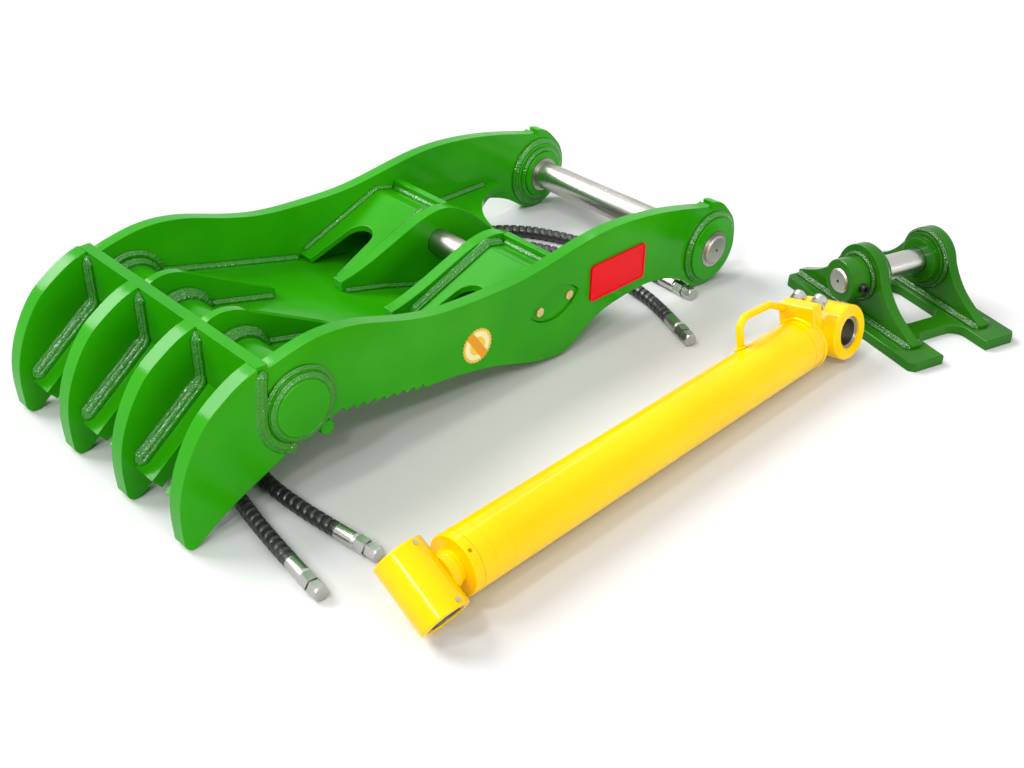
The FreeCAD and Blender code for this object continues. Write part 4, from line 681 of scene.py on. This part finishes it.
yellow_paint = filmed(plain_material("yellow_paint", (0.96, 0.62, 0.0), 0.13, 0.0), paint_film,
                      (0.95, 0.57, 0.0), 0.20)
glossed(yellow_paint, 0.20)
for node_name in slot_nodes("yellow_paint"):
    holder_body = "rod_assembly" if node_name == "rod_eye" else "cylinder"
    softened(node_name, holder_body, yellow_paint, PAINT_EDGE)
dressed(slot_nodes("seal_rubber"), rubber)

eye_places = {mount["name"]: vector_of(mount["pos_m"]) for mount in frame["record"]["mounts"]}
ROD_EYE_PLACE = eye_places["rod_eye_bore"]
BARREL_AHEAD = (eye_places["cap_eye_bore"] - ROD_EYE_PLACE).normalized()
NECK_END = 0.0615
OVERSPRAY = (0.92, 0.57, 0.0)
SEAM_TONE = (0.13, 0.070, 0.0)
SEAMS = ((0.077, 0.0005, 0.75), (0.103, 0.0004, 0.22), (0.139, 0.0004, 0.22))


def axis_distance(tree):
    """Socket with the distance in metres along the cylinder from the rod eye's middle."""
    spot = tree.nodes.new("ShaderNodeTexCoord")
    local = tree.nodes.new("ShaderNodeVectorMath")
    local.operation = "SUBTRACT"
    local.inputs[1].default_value = ROD_EYE_PLACE
    reach = tree.nodes.new("ShaderNodeVectorMath")
    reach.operation = "DOT_PRODUCT"
    reach.inputs[1].default_value = BARREL_AHEAD
    tree.links.new(spot.outputs["Object"], local.inputs[0])
    tree.links.new(local.outputs["Vector"], reach.inputs[0])
    return reach.outputs["Value"]


def covered(made, mask, colour):
    """Lays another colour over a material's own where a mask from its tree says so."""
    tree = made.node_tree
    shader = tree.nodes["Principled BSDF"]
    cover = tree.nodes.new("ShaderNodeMix")
    cover.data_type = "RGBA"
    cover.inputs["B"].default_value = (*colour, 1.0)
    tree.links.new(shader.inputs["Base Color"].links[0].from_socket, cover.inputs["A"])
    tree.links.new(cover.outputs["Result"], shader.inputs["Base Color"])
    tree.links.new(mask, cover.inputs["Factor"])


def painted_neck(made):
    """Yellow overspray on the bare rod between its eye and the gland's face."""
    tree = made.node_tree
    near = tree.nodes.new("ShaderNodeMath")
    near.operation = "LESS_THAN"
    near.inputs[1].default_value = NECK_END
    bare = tree.nodes.new("ShaderNodeMath")
    bare.operation = "SUBTRACT"
    bare.inputs[0].default_value = 1.0
    tree.links.new(axis_distance(tree), near.inputs[0])
    tree.links.new(near.outputs["Value"], bare.inputs[1])
    tree.links.new(bare.outputs["Value"], tree.nodes["Principled BSDF"].inputs["Metallic"])
    covered(made, near.outputs["Value"], OVERSPRAY)


def seamed(made, seams):
    """Thin dark rings where pieces meet: each a distance along the axis, a half width and a share."""
    tree = made.node_tree
    distance = axis_distance(tree)
    for at, half, share in seams:
        line = tree.nodes.new("ShaderNodeMath")
        line.operation = "COMPARE"
        line.inputs[1].default_value = at
        line.inputs[2].default_value = half
        faint = tree.nodes.new("ShaderNodeMath")
        faint.operation = "MULTIPLY"
        faint.inputs[1].default_value = share
        tree.links.new(distance, line.inputs[0])
        tree.links.new(line.outputs["Value"], faint.inputs[0])
        covered(made, faint.outputs["Value"], SEAM_TONE)


painted_neck(chrome)
seamed(yellow_paint, SEAMS)

BARREL_ROLL = math.radians(-12.0)
level_side = Vector((0.0, 0.0, 1.0)).cross(BARREL_AHEAD).normalized()
level_up = BARREL_AHEAD.cross(level_side)
BARREL_SIDE = np.array(level_side * math.cos(BARREL_ROLL) + level_up * math.sin(BARREL_ROLL))
BARREL_UP = np.array(level_up * math.cos(BARREL_ROLL) - level_side * math.sin(BARREL_ROLL))
BARREL_RADIUS, CAP_SEAM = 50.0, 943.0
BLOCK_START, BLOCK_SIDES = 932.0, (-30.0, 40.0)
HANDLE_AHEAD, HANDLE_SIDE, HANDLE_RADIUS = 787.0, 24.0, 7.0


def on_barrel(ahead, side, up):
    """Places or directions from arrays in millimetres along, across and above the cylinder's axis."""
    along_axis = np.outer(ahead, np.array(BARREL_AHEAD))
    return (along_axis + np.outer(side, BARREL_SIDE) + np.outer(up, BARREL_UP)) / 1000.0


def barrel_height(side):
    """How far above the axis the barrel's surface lies at distances across it."""
    return np.sqrt(BARREL_RADIUS ** 2 - side ** 2)


def yellow_weld(name, path, to_a, to_b, **shape):
    """A painted bead of the cylinder, along a path from the rod eye's middle."""
    return weld_bead(name, "cylinder", "yellow_paint", yellow_paint, path + np.array(ROD_EYE_PLACE),
                     to_a, to_b, **shape)


ring_turn = np.radians(np.linspace(0, 360, ARC_POINTS))
ring_side, ring_up, still = np.cos(ring_turn), np.sin(ring_turn), np.zeros(ARC_POINTS)
yellow_weld("weld_cap_ring",
            on_barrel(still + CAP_SEAM, ring_side * BARREL_RADIUS, ring_up * BARREL_RADIUS),
            on_barrel(still + 4, ring_side * 0.3, ring_up * 0.3),
            on_barrel(still - 4, ring_side * 0.3, ring_up * 0.3),
            passes=1, crown=0.0003, depth=0.0006, seed=121, closed=True)
foot_side = np.linspace(*BLOCK_SIDES, 30)
yellow_weld("weld_block_foot",
            on_barrel(0 * foot_side + BLOCK_START, foot_side, barrel_height(foot_side)),
            on_barrel([0], [0], [5.0]), on_barrel([-6.0], [0], [0]), passes=1, depth=0.0006, seed=122)
handle_side = HANDLE_SIDE + HANDLE_RADIUS * ring_side
yellow_weld("weld_handle_foot",
            on_barrel(HANDLE_AHEAD + HANDLE_RADIUS * ring_up, handle_side, barrel_height(handle_side)),
            on_barrel(still, still, still + 4), on_barrel(ring_up * 4, ring_side * 4, -ring_side * 2.5),
            passes=1, depth=0.0005, seed=123, closed=True)


# Pin bracket
# A slotted base with two bell-shaped ears, welded and painted in a darker green, with its own
# pin and cross bolt.

dark_paint = filmed(plain_material("dark_green_paint", (0.012, 0.120, 0.002), 0.11, 0.0), paint_film,
                    (0.020, 0.155, 0.003), 0.17)
for node_name in slot_nodes("dark_green_paint"):
    softened(node_name, "bracket", dark_paint, PAINT_EDGE)

BRACKET_CORNER = (1246.0, -474.0)
BRACKET_TURN = math.radians(-16.5)
BRACKET_ACROSS = np.array([math.cos(BRACKET_TURN), math.sin(BRACKET_TURN), 0.0])
BRACKET_ALONG = np.array([-math.sin(BRACKET_TURN), math.cos(BRACKET_TURN), 0.0])
BASE_TOP, FOOT_FIRST, FOOT_LAST = 20.0, 44.0, 378.0
BRACKET_PIN_ALONG, BRACKET_PIN_UP = 212.0, 95.0
COLLAR_RING, BOSS_RING = 42.0, 54.0


def on_bracket(across, along, up):
    """A point of the bracket in its own directions, in the frame's metres."""
    return place(*BRACKET_CORNER, up) + (BRACKET_ACROSS * across + BRACKET_ALONG * along) / 1000.0


# The bracket's beads are painted with a darker copy of its own green: painted shade for the fillet
# corners and ripples.
dark_shaded_weld_paint = filmed(plain_material("weld_dark_green", (0.009, 0.095, 0.002), 0.03, 0.0), weld_skin,
                         (0.015, 0.125, 0.003), 0.05)
glossed(dark_shaded_weld_paint, WELD_GLOSS)


def dark_weld(name, path, to_a, to_b, **shape):
    """A painted bead of the bracket, with its legs in millimetres."""
    return weld_bead(name, "bracket", "dark_green_paint", dark_shaded_weld_paint, path,
                     to_a / 1000.0, to_b / 1000.0, **shape)


EAR_FACES = ((34.0, -1), (56.0, 1), (206.0, -1), (228.0, 1))
for number, (face, way) in enumerate(EAR_FACES):
    foot = np.array([on_bracket(face, along, BASE_TOP) for along in (FOOT_FIRST, FOOT_LAST)])
    dark_weld("weld_foot_%d" % (number + 1), foot, np.array([0.0, 0.0, 9.0]), BRACKET_ACROSS * way * 13,
              passes=3, seed=101 + number)
    if number < 3:
        ring_radius = COLLAR_RING if number == 0 else BOSS_RING
        outward = np.outer(ring_side, BRACKET_ALONG) + np.outer(ring_up, [0.0, 0.0, 1.0])
        ring = on_bracket(face, BRACKET_PIN_ALONG, BRACKET_PIN_UP) + outward * ring_radius / 1000.0
        dark_weld("weld_ring_%d" % (number + 1), ring, outward * 7, BRACKET_ACROSS * way * 7, passes=2,
                  seed=111 + number, closed=True)
